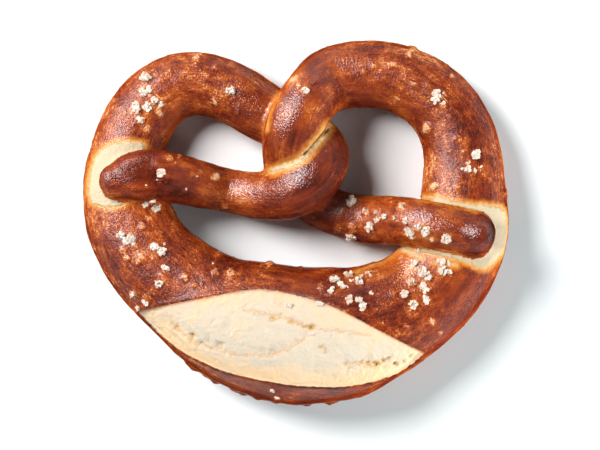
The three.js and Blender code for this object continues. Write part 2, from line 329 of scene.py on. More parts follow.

# Blisters in the crust, as [x, y, radius, height, paleness]. The pale spots at [-48.2, 51.6], [-45.8, 54.2],
# [-39.0, 54.2], [24.7, 54.1], [24.4, 4.8], [28.5, 4.0], [34.9, 2.0], [57.4, 12.6] and [58.4, 15.3] are
# painted highlights, put where the gloss catches the light.
BLISTERS_AND_GLINTS = [
    [-53.9, 52.4, 2.4, 0.5, 0.5],
    [-46.5, 16.8, 2.2, 0.3, 0.4],
    [-35.2, 59.8, 2.2, 0.4, 0.8],
    [-36.2, 57.5, 1.1, 0.3, 0.7],
    [-29.0, 56.1, 1.6, 0.5, 0.5],
    [-23.3, 56.9, 1.8, 0.3, 0.45],
    [-39.0, 54.2, 1.4, 0.3, 0.5],
    [-38.2, 52.0, 0.9, 0.3, 0.8],
    [-45.8, 54.2, 2.2, 0.3, 0.5],
    [-48.2, 51.6, 2.2, 0.3, 0.4],
    [-29.0, 43.5, 1.8, 0.8, 0.85],
    [-20.7, 39.9, 1.1, 0.4, 0.5],
    [-53.2, 33.4, 2.2, 0.4, 0.6],
    [-49.1, 39.6, 1.6, 0.6, 0.7],
    [-55.5, 49.9, 0.7, 0.3, 0.7],
    [-56.1, 45.9, 1.1, 0.2, 0.6],
    [-64.8, 41.0, 1.8, 0.2, 0.5],
    [-44.9, 23.0, 1.8, 0.6, 0.6],
    [-49.2, 20.6, 1.8, 0.3, 0.5],
    [-41.5, 23.9, 1.1, 0.3, 0.7],
    [-36.9, 17.2, 1.4, 0.5, 0.6],
    [-34.2, 18.3, 1.1, 0.3, 0.5],
    [-29.0, 16.8, 2.2, 0.6, 0.8],
    [-26.0, 6.4, 1.8, 0.7, 0.6],
    [13.6, 16.8, 1.4, 0.3, 0.3],
    [24.4, 4.8, 1.4, 0.5, 0.5],
    [28.5, 4.0, 1.4, 0.5, 0.5],
    [34.9, 2.0, 1.3, 0.4, 0.5],
    [37.6, 6.1, 1.6, 0.6, 0.85],
    [17.1, 5.3, 1.4, 0.3, 0.5],
    [20.2, -1.3, 2.2, 0.4, 0.45],
    [15.5, -1.7, 1.8, 0.3, 0.45],
    [28.1, 56.6, 1.4, 0.5, 0.5],
    [34.4, 56.6, 1.4, 0.5, 0.5],
    [24.7, 54.1, 1.8, 0.25, 0.6],
    [40.6, 60.3, 1.8, 0.4, 0.75],
    [42.2, 62.6, 2.1, 0.6, 0.45],
    [42.4, 49.6, 1.6, 0.5, 0.6],
    [55.6, 52.4, 1.4, 0.4, 0.8],
    [53.8, 56.7, 1.1, 0.4, 0.4],
    [1.0, 49.9, 1.4, 0.3, 0.7],
    [7.2, 50.7, 1.3, 0.5, 0.35],
    [57.7, 30.2, 1.8, 0.5, 0.6],
    [58.4, 15.3, 2.4, 0.4, 0.35],
    [46.7, 34.1, 2.2, 0.8, 0.95],
    [49.7, 13.1, 2.2, 0.6, 1],
    [57.4, 12.6, 1.8, 0.4, 0.5],
    [69.0, 15.4, 1.1, 0.3, 0.6],
    [70.2, 21.9, 1.1, 0.3, 0.5],
    [74.8, 10.9, 1.8, 0.6, 0.4],
    [44.0, 10.1, 1.3, 0.9, 1],
    [40.9, -20.9, 1.8, 0.3, 0.6],
    [39.2, -36.6, 1.8, 0.4, 0.7],
    [48.4, -34.9, 1.6, 0.5, 0.9],
    [51.2, -38.7, 1.1, 0.6, 0.95],
    [39.8, -31.6, 1.8, 0.3, 0.5],
    [30.8, -34.9, 0.6, 0.2, 0.9],
    [8.9, -22.2, 2.2, 0.3, 0.7],
    [-39.3, -18.9, 1.8, 0.5, 0.8],
    [-35.7, -21.9, 1.4, 0.4, 0.6],
    [-28.5, -17.5, 1.8, 0.5, 0.75],
    [-23.2, -17.5, 2.2, 0.5, 0.75],
    [-27.5, -11.7, 1.8, 0.7, 0.45],
    [-9.2, -14.2, 1.7, 0.7, 0.4],
    [1.9, -15.7, 0.9, 0.3, 0.5],
    [-61.3, -9.2, 1.8, 0.6, 0.75],
    [-60.1, -12.3, 1.6, 1.1, 0.75],
    [-54.6, -11.9, 2.4, 0.4, 0.5],
    [-56.1, -14.1, 1.4, 0.3, 0.6],
    [-47.0, -18.8, 2.3, 0.4, 0.5],
    [19.9, -3.2, 1.8, 0.6, 0.6],
    [26.8, -17.6, 1.4, 0.3, 0.6],
    [34.6, -24.9, 2.0, 0.3, 0.5],
    [-54.4, -1.3, 1.6, 1.1, 0.75],
    [-52.5, 1.9, 1.4, 0.3, 0.6],
    [-72.0, -8.9, 1.1, 0.2, 0.7],
    [-52.9, -26.1, 1.8, 0.2, 0.5],
    [42.6, -21.2, 1.4, 0.3, 0.55],
    [12.1, -25.4, 1.1, 0.3, 0.6],
    [17.4, -31.0, 1.1, 0.3, 0.5],
]
SALT_SPOT = (0.9, 0.1, 0.4)  # reach past each grain, height and paleness of the crust round it
WANDER = 0.9  # how far the blisters' outlines wander
PIMPLES = 520  # smaller ones, strewn over the whole crust
PIMPLE_SIZE = (0.45, 1.0)
PIMPLE_PALENESS = (0.1, 0.65)
SEED = 7  # of how the lumps and the smaller blisters are strewn

# ---- salt and lumps ----

# Grains and clumps of salt from above, as [x, y, length, width, turn in degrees, stain].
SALT = [
    [-53.8, 52.4, 3.9, 3.2, 0, 0.45],
    [-53.7, 47.1, 5.0, 2.8, 30, 0.15],
    [-57.0, 41.4, 3.9, 3.2, -70, 0.25],
    [-53.1, 41.5, 3.6, 3.0, 80, 0],
    [-50.7, 44.1, 2.8, 2.5, -40, 0],
    [-48.5, 42.4, 2.5, 1.8, 70, 0.1],
    [-48.4, 38.9, 1.8, 0.9, 60, 0.6],
    [-55.8, 37.2, 3.2, 2.3, -35, 0.2],
    [-23.4, 47.5, 3.6, 2.8, 20, 0.2],
    [3.5, 47.0, 2.8, 2.3, -20, 0.1],
    [50.2, 45.4, 5.9, 3.6, 85, 0.05],
    [52.6, 42.8, 2.1, 1.6, 40, 0],
    [52.7, 46.6, 1.1, 0.7, 60, 0.1],
    [64.2, 24.5, 3.6, 3.0, 45, 0],
    [61.3, 21.5, 1.8, 1.2, 30, 0.2],
    [61.3, 19.2, 2.5, 2.3, 10, 0.1],
    [59.4, 19.4, 2.1, 1.1, 15, 0.3],
    [63.8, 18.8, 2.3, 1.2, -65, 0.1],
    [65.8, 20.1, 2.0, 0.9, 25, 0.2],
    [-47.6, 17.9, 3.2, 2.8, 0, 0.45],
    [-53.8, 7.0, 2.5, 2.1, 40, 0.15],
    [-50.9, 8.1, 2.8, 1.8, 30, 0.1],
    [-50.2, 5.4, 3.2, 2.5, 55, 0.15],
    [-62.2, -4.2, 3.6, 2.3, 20, 0.05],
    [-59.5, -5.8, 5.3, 3.0, 20, 0.05],
    [-57.9, -7.2, 2.1, 1.4, -50, 0.2],
    [-50.1, -8.4, 3.6, 2.8, -20, 0.05],
    [-47.7, -10.0, 2.8, 2.8, 60, 0.1],
    [-46.9, -7.4, 1.2, 1.1, 0, 0.5],
    [-46.4, -15.7, 3.6, 1.8, -25, 0.1],
    [-48.6, -21.6, 3.2, 2.5, 40, 0],
    [-58.2, -25.2, 2.5, 2.1, 0, 0.3],
    [-53.4, -28.0, 2.8, 2.1, -40, 0.3],
    [-56.4, -30.3, 2.1, 1.8, 0, 0.5],
    [-2.6, -29.0, 2.5, 2.1, 0, 0],
    [8.4, -28.3, 3.2, 2.0, -5, 0],
    [5.2, -38.8, 2.5, 1.4, 0, 0],
    [13.6, -20.1, 3.9, 2.8, 10, 0],
    [16.3, -22.1, 3.6, 2.5, -55, 0.05],
    [12.6, -23.8, 3.2, 2.1, 70, 0.05],
    [18.9, -18.5, 2.7, 2.5, 0, 0.45],
    [19.9, -20.5, 2.5, 1.4, -20, 0.2],
    [18.2, -22.6, 1.1, 0.9, 0, 0.2],
    [22.5, -20.9, 3.0, 2.8, 0, 0.3],
    [23.2, -18.9, 1.6, 1.4, 0, 0.45],
    [25.4, -17.7, 1.8, 1.1, 30, 0.1],
    [26.6, -18.4, 1.6, 0.9, -50, 0.1],
    [18.8, -27.0, 2.8, 2.5, 60, 0.35],
    [22.2, -27.1, 2.8, 2.3, 20, 0.1],
    [23.6, -28.9, 2.5, 2.3, -60, 0.1],
    [23.4, -30.5, 2.1, 1.4, 10, 0.05],
    [26.7, -24.7, 1.6, 1.4, -40, 0.2],
    [38.3, -25.2, 3.0, 2.5, 50, 0.4],
    [41.1, -20.3, 2.3, 2.1, 40, 0.5],
    [42.6, -13.9, 2.5, 2.3, 0, 0.2],
    [43.5, -15.9, 1.8, 0.9, -65, 0.3],
    [45.0, -17.3, 3.2, 3.0, 60, 0.05],
    [46.8, -18.7, 2.8, 2.7, -40, 0.05],
    [45.4, -22.8, 3.9, 3.0, -70, 0.2],
    [46.0, -27.2, 3.7, 2.3, -65, 0.25],
    [41.4, -28.8, 3.4, 2.7, -60, 0.35],
    [51.8, -13.8, 3.2, 2.8, 0, 0.05],
    [54.2, -14.0, 2.8, 1.1, -70, 0.15],
    [52.3, -16.9, 3.2, 2.5, 20, 0.05],
    [54.2, -17.1, 2.5, 1.8, -20, 0.1],
    [43.7, -9.8, 2.1, 1.6, 30, 0.05],
    [19.8, 7.8, 5.0, 3.0, 70, 0.3],
    [19.9, -4.8, 3.6, 3.0, 0, 0.25],
    [26.7, -1.2, 3.7, 3.4, 0, 0.05],
    [29.4, 1.4, 3.2, 1.8, 30, 0.15],
    [31.8, 2.5, 2.7, 2.3, -20, 0.15],
    [24.5, 4.6, 2.1, 1.6, 60, 0.35],
    [28.6, 4.0, 1.8, 1.4, 45, 0.35],
    [35.1, 1.9, 2.0, 1.4, 80, 0.35],
    [37.5, 5.8, 2.5, 1.4, -10, 0.4],
    [39.1, 1.1, 2.7, 1.7, 80, 0.1],
    [40.2, -2.9, 3.2, 2.8, -30, 0.05],
    [41.1, -4.9, 1.4, 1.1, -60, 0.1],
    [43.4, -1.2, 2.5, 2.1, 0, 0.15],
    [45.9, -2.9, 3.6, 2.7, 60, 0.05],
    [53.2, -5.4, 3.9, 3.4, 0, 0.35],
    [48.1, -5.9, 1.2, 1.1, 0, 0.6],
    [-8.4, -59.2, 1.8, 1.6, 0, 0.25],
    [-6.7, -61.9, 2.1, 1.2, 0, 0.3],
    [-52.9, 13.5, 0.9, 0.7, 0, 0],
    [-49.0, 15.3, 0.7, 0.6, 0, 0],
    [-39.0, 12.2, 1.1, 0.7, -60, 0.1],
    [-35.2, 16.8, 1.1, 0.7, 0, 0.3],
    [-29.5, -14.3, 0.9, 0.7, 0, 0.2],
    [59.6, 25.6, 0.9, 0.7, 0, 0.2],
]
CRYSTAL_POINTS = 15  # a crystal is the hull of so many points
DROP_HEIGHT = 100.0

# Lumps baked on to the front of the belly where it met the tray, as [x, y, radius, how far it stands
# out, paleness].
NUBS = [
    [-43.4, -47.4, 1.2, 0.5, 0.2],
    [-37.0, -52.5, 1.5, 1.2, 0.2],
    [-35.6, -53.2, 1.0, 0.9, 0.8],
    [-32.8, -55.1, 1.2, 1.1, 0.3],
    [-31.4, -55.9, 0.9, 0.7, 0.8],
    [-28.8, -57.2, 2.2, 1.5, 0.1],
    [-22.4, -59.7, 1.8, 1.0, 0.7],
    [-19.0, -61.2, 1.9, 1.3, 0.1],
    [-13.7, -62.2, 1.6, 0.8, 0.25],
    [-6.8, -63.1, 1.6, 0.7, 0.8],
    [-2.6, -63.4, 1.2, 0.4, 0.6],
    [0.6, -63.9, 1.6, 0.5, 0.3],
    [4.4, -65.0, 2.2, 1.2, 0.1],
    [12.0, -64.7, 2.0, 1.2, 0.1],
    [14.6, -64.3, 1.3, 0.8, 0.6],
    [22.9, -61.8, 1.2, 0.4, 0.2],
    [25.6, -61.5, 0.8, 0.4, 0.7],
]
NUB_ANGLE = (-0.15, 0.12)  # round the rope's section, up from its widest
NUB_EXTRA = 0.3  # added to each radius, for what smoothing the skin takes off
NUB_BESIDE = (0.6, 1.2)  # size of a second lump beside each, and how far off it may be, in radii

# ---- camera and lights ----

FLOOR_REACH = 3.0
SENSOR_WIDTH = 36.0
CAMERA_HEIGHT = 1.0
VIEW_WIDTH = 0.216  # width of the view at the pretzel's middle height
VIEW_CENTRE = (0.0015, -0.0006, 0.012)
# Each light's direction from the pretzel, its distance, and the angle it fills seen from there.
KEY = {"azimuth": 146, "elevation": 41.5, "distance": 1.2, "angle": 30}
SHEEN = {"azimuth": 146, "elevation": 41.5, "distance": 1.25, "angle": 46}
SIDE = {"azimuth": 0, "elevation": 14, "distance": 1.0, "angle": 40}
FRONT = {"azimuth": -40, "elevation": 14, "distance": 1.0, "angle": 40}


# ---- settings ----


def linear(code):
    """An sRGB hex colour as linear red, green, blue and alpha."""
    channels = [int(code[i : i + 2], 16) / 255 for i in (1, 3, 5)]
    turned = [c / 12.92 if c <= 0.04045 else ((c + 0.055) / 1.055) ** 2.4 for c in channels]
    return (*turned, 1.0)


def colour(code, name, description):
    return FloatVectorProperty(
        name=name, description=description, default=linear(code), size=4, subtype="COLOR", min=0, max=1
    )


def number(default, name, description, **more):
    return FloatProperty(name=name, description=description, default=default, **{"min": 0, **more})


class PretzelCrustSettings(bpy.types.PropertyGroup):
    """The dough's fineness, relief and colours. Lengths are millimetres."""

    voxel: number(0.78, "Fineness", "Size of the faces of the baked dough, in mm", min=0.3, max=3)
    lip: number(1.3, "Crust edge", "How far the crust edges stand proud of the crumb, in mm")
    dome: number(1.3, "Crumb dome", "How far the crumb has risen in the middle of the slash, in mm")
    waviness: number(0.45, "Waviness", "How uneven the hand-rolled rope is, in mm")
    crust_burnt: colour("#3E1208", "Darkest crust", "Crust where the lye and the oven took most")
    crust_dark: colour("#6E2613", "Dark crust", "Crust that browned more than most")
    crust_mid: colour("#8B3714", "Crust", "Most of the crust")
    crust_light: colour("#B0561E", "Light crust", "Crust that the oven browned least")
    # Thin crust is pinkish tan: the thinnest crust, and partly painted glints on the specks.
    crust_thin_and_glint: colour("#DDA272", "Thin crust", "Specks and streaks where the crust is thinnest")
    blister: colour("#E0B68E", "Blisters", "Tops of the palest blisters")
    tan: colour("#BE6C28", "Tan edge", "Where the crust fades towards bare dough")
    gold: colour("#CE9450", "Golden edge", "Where tan crust fades into bare dough")
    dough: colour("#C8B292", "Bare dough", "Dough that the lye didn't reach")
    # Shaded dough is a darker copy of bare dough: painted shade on the right-hand patch, which faces away
    # from the key light.
    shaded_dough: colour("#AB947B", "Shaded dough", "Bare dough that browned a little")
    crumb: colour("#CDBAA5", "Crumb", "The crumb in the slash")
    # Peach also lightens bare dough beside the split, as painted light.
    peach: colour("#E5BD93", "Peach crumb", "Crumb that browned a little beside the crust")
    crack: colour("#C3965E", "Cracks", "The walls of cracks and pits in the crumb")
    # Pits: dark brown painted at the bottoms of pits and along the split. This is painted shade in these
    # hollows.
    pit_shade: colour("#7A5228", "Pits", "The bottoms of pits and splits")


class PretzelSaltSettings(bpy.types.PropertyGroup):
    """The salt's colours and shapes."""

    salt: colour("#DFC9BA", "Salt", "Dry grains of salt")
    stained: colour("#CB9A74", "Stained salt", "Salt that took up the crust's colour")
    seed: IntProperty(name="Seed", description="Seed of the grains' shapes", default=11)


class PretzelStageSettings(bpy.types.PropertyGroup):
    """The floor and the lights."""

    floor: colour("#F4F4F4", "Floor", "The plain floor")
    key_power: number(25, "Key light", "Power of the large soft light", unit="POWER")
    sheen_power: number(52, "Sheen", "Power of the large pane seen only in the crust's gloss", unit="POWER")
    side_power: number(9, "Side bounce", "Power of the low light from the right", unit="POWER")
    front_power: number(13, "Front bounce", "Power of the low light before it", unit="POWER")
    bounce: colour("#F6FDFF", "Bounce", "Colour of the low lights, a little cool against the warm crust")
    sky_low: number(0.9, "Low fill", "Brightness of the fill near the horizon")
    sky_high: number(0.08, "High fill", "Brightness of the fill overhead")
    sky_gloss: number(0.12, "Mirrored fill", "Fill added in reflections alone")
    fill: colour("#B8F8FF", "Fill colour", "Colour of the fill, cool against the light off the warm crust")


# ---- the rope's centre-line and sections ----


def smooth_line(points, samples):
    """Points along a smooth curve through the given ones, with each row's numbers treated alike."""
    points = np.array(points, dtype=float)
    rows = np.vstack([2 * points[0] - points[1], points, 2 * points[-1] - points[-2]])
    t = (np.arange(samples) / samples)[:, None]
    spans = []
    for before, start, end, after in zip(rows, rows[1:], rows[2:], rows[3:]):
        leave = (end - before) / 2
        arrive = (after - start) / 2
        spans.append(
            (2 * t**3 - 3 * t**2 + 1) * start
            + (t**3 - 2 * t**2 + t) * leave
            + (3 * t**2 - 2 * t**3) * end
            + (t**3 - t**2) * arrive
        )
    return np.vstack([*spans, points[-1:]])


class Rope:
    """The rope's centre-line and sections, sampled finely along it."""

    def __init__(self, route):
        line = smooth_line(route, SAMPLES)
        plan = line[:, [0, 1, 3]]
        steps = np.linalg.norm(np.diff(plan, axis=0), axis=1)
        self.distance = np.concatenate([[0.0], np.cumsum(steps)])
        self.length = self.distance[-1]
        self.half_width = line[:, 2] / 2
        self.half_height = self.half_width * (SLIM_HEIGHT - SPREAD * self.half_width)
        lift = np.maximum(line[:, 3], 0)
        self.centre = np.column_stack([line[:, 0], line[:, 1], lift + SEAT * self.half_height])
        self.along = unit(np.gradient(plan, self.distance, axis=0))
        flat = np.column_stack([self.along[:, 1], -self.along[:, 0], np.zeros(len(line))])
        self.across = unit(flat)
        self.up = np.cross(self.across, self.along)

    def at(self, values, distance):
        """One of the sampled quantities at some distances along the rope."""
        if values.ndim == 1:
            return np.interp(distance, self.distance, values)
        columns = [np.interp(distance, self.distance, column) for column in values.T]
        return np.column_stack(columns)

    def point(self, distance, angle, share=1.0):
        """Points at an angle from the outside of the loop, anticlockwise to straight up, and at a share
        of the way out from the centre. Past either end the rope carries straight on."""
        inside = np.clip(distance, 0, self.length)
        out = share * self.at(self.half_width, inside) * np.cos(angle)
        rise = share * self.at(self.half_height, inside) * np.sin(angle)
        past = (distance - inside)[:, None] * self.at(self.along, inside)
        sideways = out[:, None] * unit(self.at(self.across, inside))
        return self.at(self.centre, inside) + past + sideways + rise[:, None] * self.at(self.up, inside)


def unit(vectors):
    return vectors / np.linalg.norm(vectors, axis=-1, keepdims=True)


def smoothstep(values, low, high):
    t = np.clip((values - low) / (high - low), 0, 1)
    return t * t * (3 - 2 * t)


# ---- distances seen from above ----


def distance_to_point(places, x, y):
    """Distance of each place to a point."""
    return np.hypot(places[:, 0] - x, places[:, 1] - y)


def nearness(places, x, y, reach):
    """1 at a point, and fading to nothing beyond its reach."""
    return np.exp(-((distance_to_point(places, x, y) / reach) ** 2))


def distance_to_line(places, line):
    """Distance of each [x, y] to an open line of points."""
    return np.abs(side_of_line(places, line))


def side_of_line(places, line):
    """Distance of each [x, y] to an open line of points: negative on its right-hand side."""
    nearest = np.full(len(places), np.inf)
    signed = np.full(len(places), np.inf)
    for start, end in zip(line, line[1:]):
        span = end - start
        offset = places - start
        share = np.clip(offset @ span / (span @ span), 0, 1)
        away = np.linalg.norm(offset - share[:, None] * span, axis=1)
        side = np.where(span[0] * offset[:, 1] - span[1] * offset[:, 0] < 0, -1, 1)
        signed = np.where(away < nearest, away * side, signed)
        nearest = np.minimum(nearest, away)
    return signed


def depth_inside(places, outline):
    """How far each [x, y] lies inside a closed outline: negative outside it."""
    closed = np.vstack([outline, outline[:1]])
    inside = np.zeros(len(places), dtype=bool)
    for start, end in zip(closed, closed[1:]):
        spans = (start[1] > places[:, 1]) != (end[1] > places[:, 1])
        rise = np.where(end[1] == start[1], 1e-9, end[1] - start[1])
        crossing = start[0] + (places[:, 1] - start[1]) * (end[0] - start[0]) / rise
        inside ^= spans & (places[:, 0] < crossing)
    return distance_to_line(places, closed) * np.where(inside, 1, -1)


# ---- meshes ----


def mesh_object(name, bm):
    """A new object from a bmesh, linked to the scene."""
    mesh = bpy.data.meshes.new(name)
    bm.to_mesh(mesh)
    bm.free()
    piece = bpy.data.objects.new(name, mesh)
    bpy.context.scene.collection.objects.link(piece)
    return piece


def places_of(mesh):
    """The mesh's vertices as rows of x, y, z."""
    flat = np.empty(len(mesh.vertices) * 3)
    mesh.vertices.foreach_get("co", flat)
    return flat.reshape(-1, 3)


def normals_of(mesh):
    flat = np.empty(len(mesh.vertices) * 3)
    mesh.vertex_normals.foreach_get("vector", flat)
    return flat.reshape(-1, 3)


def move_to(mesh, places):
    mesh.vertices.foreach_set("co", places.ravel())
    mesh.update()


def store(mesh, name, values):
    """Keeps one number or vector for each vertex, for the material to read."""
    kind, key = ("FLOAT", "value") if values.ndim == 1 else ("FLOAT_VECTOR", "vector")
    mesh.attributes.new(name, kind, "POINT").data.foreach_set(key, values.astype(np.float32).ravel())


def wave(places, size, seed):
    """Smooth random numbers of about -1 to 1, with bumps of a size in millimetres."""
    shift = Vector((seed * 17.0, seed * 5.0, seed * 29.0))
    return np.array([noise.noise(Vector(place) / size + shift) for place in places])


def waves(places, rows):
    """Bumps of several sizes together."""
    return sum(height * wave(places, size, seed) for height, size, seed in rows)


# ---- the dough ----


def roll_rope(bm, rope):
    """The rope as a ball stretched into a spindle, then bent along its centre-line."""
    start_round = rope.half_width[0]
    end_round = rope.half_width[-1]
    whole = rope.length + start_round + end_round
    rings = round(whole / RING_STEP)
    verts = bmesh.ops.create_uvsphere(bm, u_segments=SIDES, v_segments=rings, radius=1)["verts"]
    ball = np.array([v.co for v in verts])
    distance = whole * np.arccos(np.clip(ball[:, 2], -1, 1)) / math.pi - start_round
    angle = np.arctan2(ball[:, 1], ball[:, 0])
    past_start = np.maximum(-distance, 0) / start_round
    past_end = np.maximum(distance - rope.length, 0) / end_round
    share = np.sqrt(np.maximum(1 - np.maximum(past_start, past_end) ** 2, 0))
    for vert, place in zip(verts, rope.point(distance, angle, share)):
        vert.co = place
    bmesh.ops.recalc_face_normals(bm, faces=bm.faces)


def add_nubs(bm, rope, draw):
    """Lumps along the front of the belly, where dough and salt caught on the tray. Returns the top,
    radius and paleness of each."""
    nubs = []
    for x, y, radius, rise, pale in NUBS:
        nearest = np.argmin(distance_to_point(rope.centre, x, y))
        place = rope.distance[[nearest]]
        angle = np.array([draw.uniform(*NUB_ANGLE)])
        half_width = rope.half_width[nearest]
        top = Vector(rope.point(place, angle, 1 + rise / half_width)[0])
        nubs.append((top, radius, pale))
        second, furthest = NUB_BESIDE
        for share, aside in ((1, 0), (second, draw.uniform(-furthest, furthest))):
            size = share * radius + NUB_EXTRA
            sunk = 1 - (size - share * rise) / half_width
            middle = Vector(rope.point(place + aside * radius, angle, sunk)[0])
            bmesh.ops.create_icosphere(bm, subdivisions=2, radius=size, matrix=Matrix.Translation(middle))
    return nubs


def fuse(piece, voxel):
    """Makes overlapping closed shapes into one even skin."""
    remesh = piece.modifiers.new("fuse", "REMESH")
    remesh.mode = "VOXEL"
    remesh.voxel_size = voxel
    evaluated = piece.evaluated_get(bpy.context.evaluated_depsgraph_get())
    fused = bpy.data.meshes.new_from_object(evaluated)
    piece.modifiers.clear()
    old = piece.data
    piece.data = fused
    bpy.data.meshes.remove(old)
    fused.name = piece.name


def nearest_on_rope(places, rope):
    """For each place: the distance along the rope of the nearest stretch, how far out and up it is from
    the centre-line there, and how far away the surface of the nearest other stretch is."""
    keep = slice(None, None, 4)
    stretch = rope.distance[keep]
    centre, across, up = rope.centre[keep], rope.across[keep], rope.up[keep]
    half_width, half_height = rope.half_width[keep], rope.half_height[keep]
    along, aside, above, apart = [], [], [], []
    for few in np.array_split(places, max(1, len(places) // 4000)):
        offset = few[:, None, :] - centre[None]
        out = np.einsum("ijk,jk->ij", offset, across)
        rise = np.einsum("ijk,jk->ij", offset, up)
        reach = np.hypot(out, rise) + 1e-6
        skin = reach / np.hypot(out / half_width, rise / half_height)
        gap = np.linalg.norm(offset, axis=2) - skin
        best = np.argmin(gap, axis=1)
        row = np.arange(len(few))
        other = np.where(np.abs(stretch[None] - stretch[best][:, None]) > APART, gap, np.inf)
        along.append(stretch[best])
        aside.append(out[row, best])
        above.append(rise[row, best])
        apart.append(other.min(axis=1))
    return [np.concatenate(found) for found in (along, aside, above, apart)]


def soften(mesh, chosen, times):
    """Rounds off the chosen vertices, as dough does where it has proved together."""
    bm = bmesh.new()
    bm.from_mesh(mesh)
    bm.verts.ensure_lookup_table()
    verts = [bm.verts[i] for i in np.flatnonzero(chosen)]
    for _ in range(times):
        bmesh.ops.smooth_vert(
            bm, verts=verts, factor=0.5, use_axis_x=True, use_axis_y=True, use_axis_z=True
        )
    bm.to_mesh(mesh)
    bm.free()


def pressed(places):
    """The places once some tops have been pressed flat and others have swelled."""
    height = places[:, 2].copy()
    for x, y, reach, flat in PRESSED:
        near = 1 - smoothstep(distance_to_point(places, x, y), 0.75 * reach, reach)
        capped = (height + flat - np.sqrt((height - flat) ** 2 + 1.0)) / 2
        height += near * (capped - height)
    for x, y, reach, rise in SWOLLEN:
        away = distance_to_point(places, x, y) / reach
        height += rise * np.clip(1 - away**2, 0, 1) ** 2 * smoothstep(places[:, 2], *SWELL_HEIGHTS)
    return np.column_stack([places[:, :2], height])


def slash_outline():
    upper = smooth_line(SLASH_UPPER, 8)[:-1]
    lower = smooth_line(SLASH_LOWER, 8)[:-1]
    return np.vstack([upper, lower])


def crumb_relief(flat):
    """How far the crumb's cracks, pits and ledges move each place, and how torn it is from 0 to 1. At the
    pits this number also holds how much painted shade darkens them.
    """
    level = np.column_stack([flat, np.zeros(len(flat))])
    ragged = 1.4 * wave(level, 1.9, 3)
    pitted = smoothstep(wave(level, 1.1, 5), -0.35, 0.15)
    moved = np.zeros(len(flat))
    torn = np.zeros(len(flat))
    for width, deep, route in CRACKS:
        away = distance_to_line(flat, smooth_line(route, 6)) + 0.45 * ragged
        inside = 1 - smoothstep(away, 0.1 * width, 0.75 * width)
        moved = np.minimum(moved, -0.6 * deep * inside * pitted)
        torn = np.maximum(torn, 0.4 * inside * pitted)
    warped = flat + np.column_stack([wave(level, 1.5, seed) for seed in (12, 13)])
    for x, y, radius, deep, dark in PITS:
        dip = 1 - smoothstep(distance_to_point(warped, x, y) / radius, 0.25, 1.25)
        moved = np.minimum(moved, -1.4 * deep * dip)
        # The pits' darkness, which is painted shade, goes into how torn the crumb is.
        torn = np.maximum(torn, dark * dip)
    for step, route in LEDGES:
        line = smooth_line(route, 6)
        side = side_of_line(flat, line) + 0.5 * ragged
        ends = np.minimum(*(np.linalg.norm(flat - end, axis=1) for end in (line[0], line[-1])))
        fade = smoothstep(ends, 0, 6) * np.exp(-((side / LEDGE_REACH) ** 2))
        moved += 1.3 * step * fade * (smoothstep(side, 0.5, -0.5) - 0.5)
        torn = np.maximum(torn, 0.42 * fade * (1 - smoothstep(np.abs(side - 0.4), 0.2, 1.5)))
    return moved, torn


def slash_relief(places, rope, along, angle, settings):
    """How far the slash moves each place out, and how far inside its outline each place is."""
    flat = places[:, :2]
    inside = depth_inside(flat, slash_outline())
    middle = rope.at(rope.centre, along)[:, 2]
    facing_up = smoothstep(places[:, 2] - middle, -1.0, 1.0)
    inside = np.where(facing_up > 0.5, inside, np.minimum(inside, -4.0))
    lean = np.maximum(np.cos(angle - (math.pi / 2 - CRUMB_LEAN)), 0) ** 2
    share = (along - CRUMB_SPAN[0]) / (CRUMB_SPAN[1] - CRUMB_SPAN[0])
    risen = settings.dome * lean * np.sin(math.pi * np.clip(share, 0, 1))
    in_crumb = smoothstep(inside, -0.2, 0.7)
    rim = 0.3 * smoothstep(inside, -2.2, -0.3) * (1 - smoothstep(inside, -0.3, 0.2))
    return in_crumb * (risen - settings.lip) + rim * facing_up, inside


def blister_relief(places, normals, nubs, draw):
    """How far the blisters raise each place, how much of a blister it is from 0 to 1, and how pale. Some of
    the spots are painted highlights.
    """
    warp = np.column_stack([wave(places, 1.5, seed) for seed in (7, 8, 9)])
    ragged = places + WANDER * warp
    raised = np.zeros(len(places))
    cover = np.zeros(len(places))
    paleness = np.zeros(len(places))
    spots = [(np.array(spot[:2]), None, *spot[2:]) for spot in BLISTERS_AND_GLINTS]
    spots += [(np.array(nub[:2]), nub.z, radius + 0.5, 0.0, pale) for nub, radius, pale in nubs]
    reach, rise, pale = SALT_SPOT
    spots += [(np.array([x, y]), None, span / 2 + reach, rise, pale) for x, y, span, _, _, _ in SALT]
    for i in draw.sample(range(len(places)), PIMPLES):
        radius = draw.uniform(*PIMPLE_SIZE)
        spots.append((places[i, :2], places[i, 2], radius, 0.25 * radius, draw.uniform(*PIMPLE_PALENESS)))
    for centre, height, radius, rise, pale in spots:
        near = np.linalg.norm(ragged[:, :2] - centre, axis=1)
        if height is not None:
            near = np.hypot(near, places[:, 2] - height)
        near = np.where((normals[:, 2] > 0.05) | (height is not None), near / radius, np.inf)
        raised = np.maximum(raised, 1.3 * rise * np.clip(1 - near**2, 0, 1) ** 1.2)
        here = 1 - smoothstep(near, 0.4, 1.1)
        paleness = np.where(here > cover, pale, paleness)
        cover = np.maximum(cover, here)
    return raised, cover, paleness


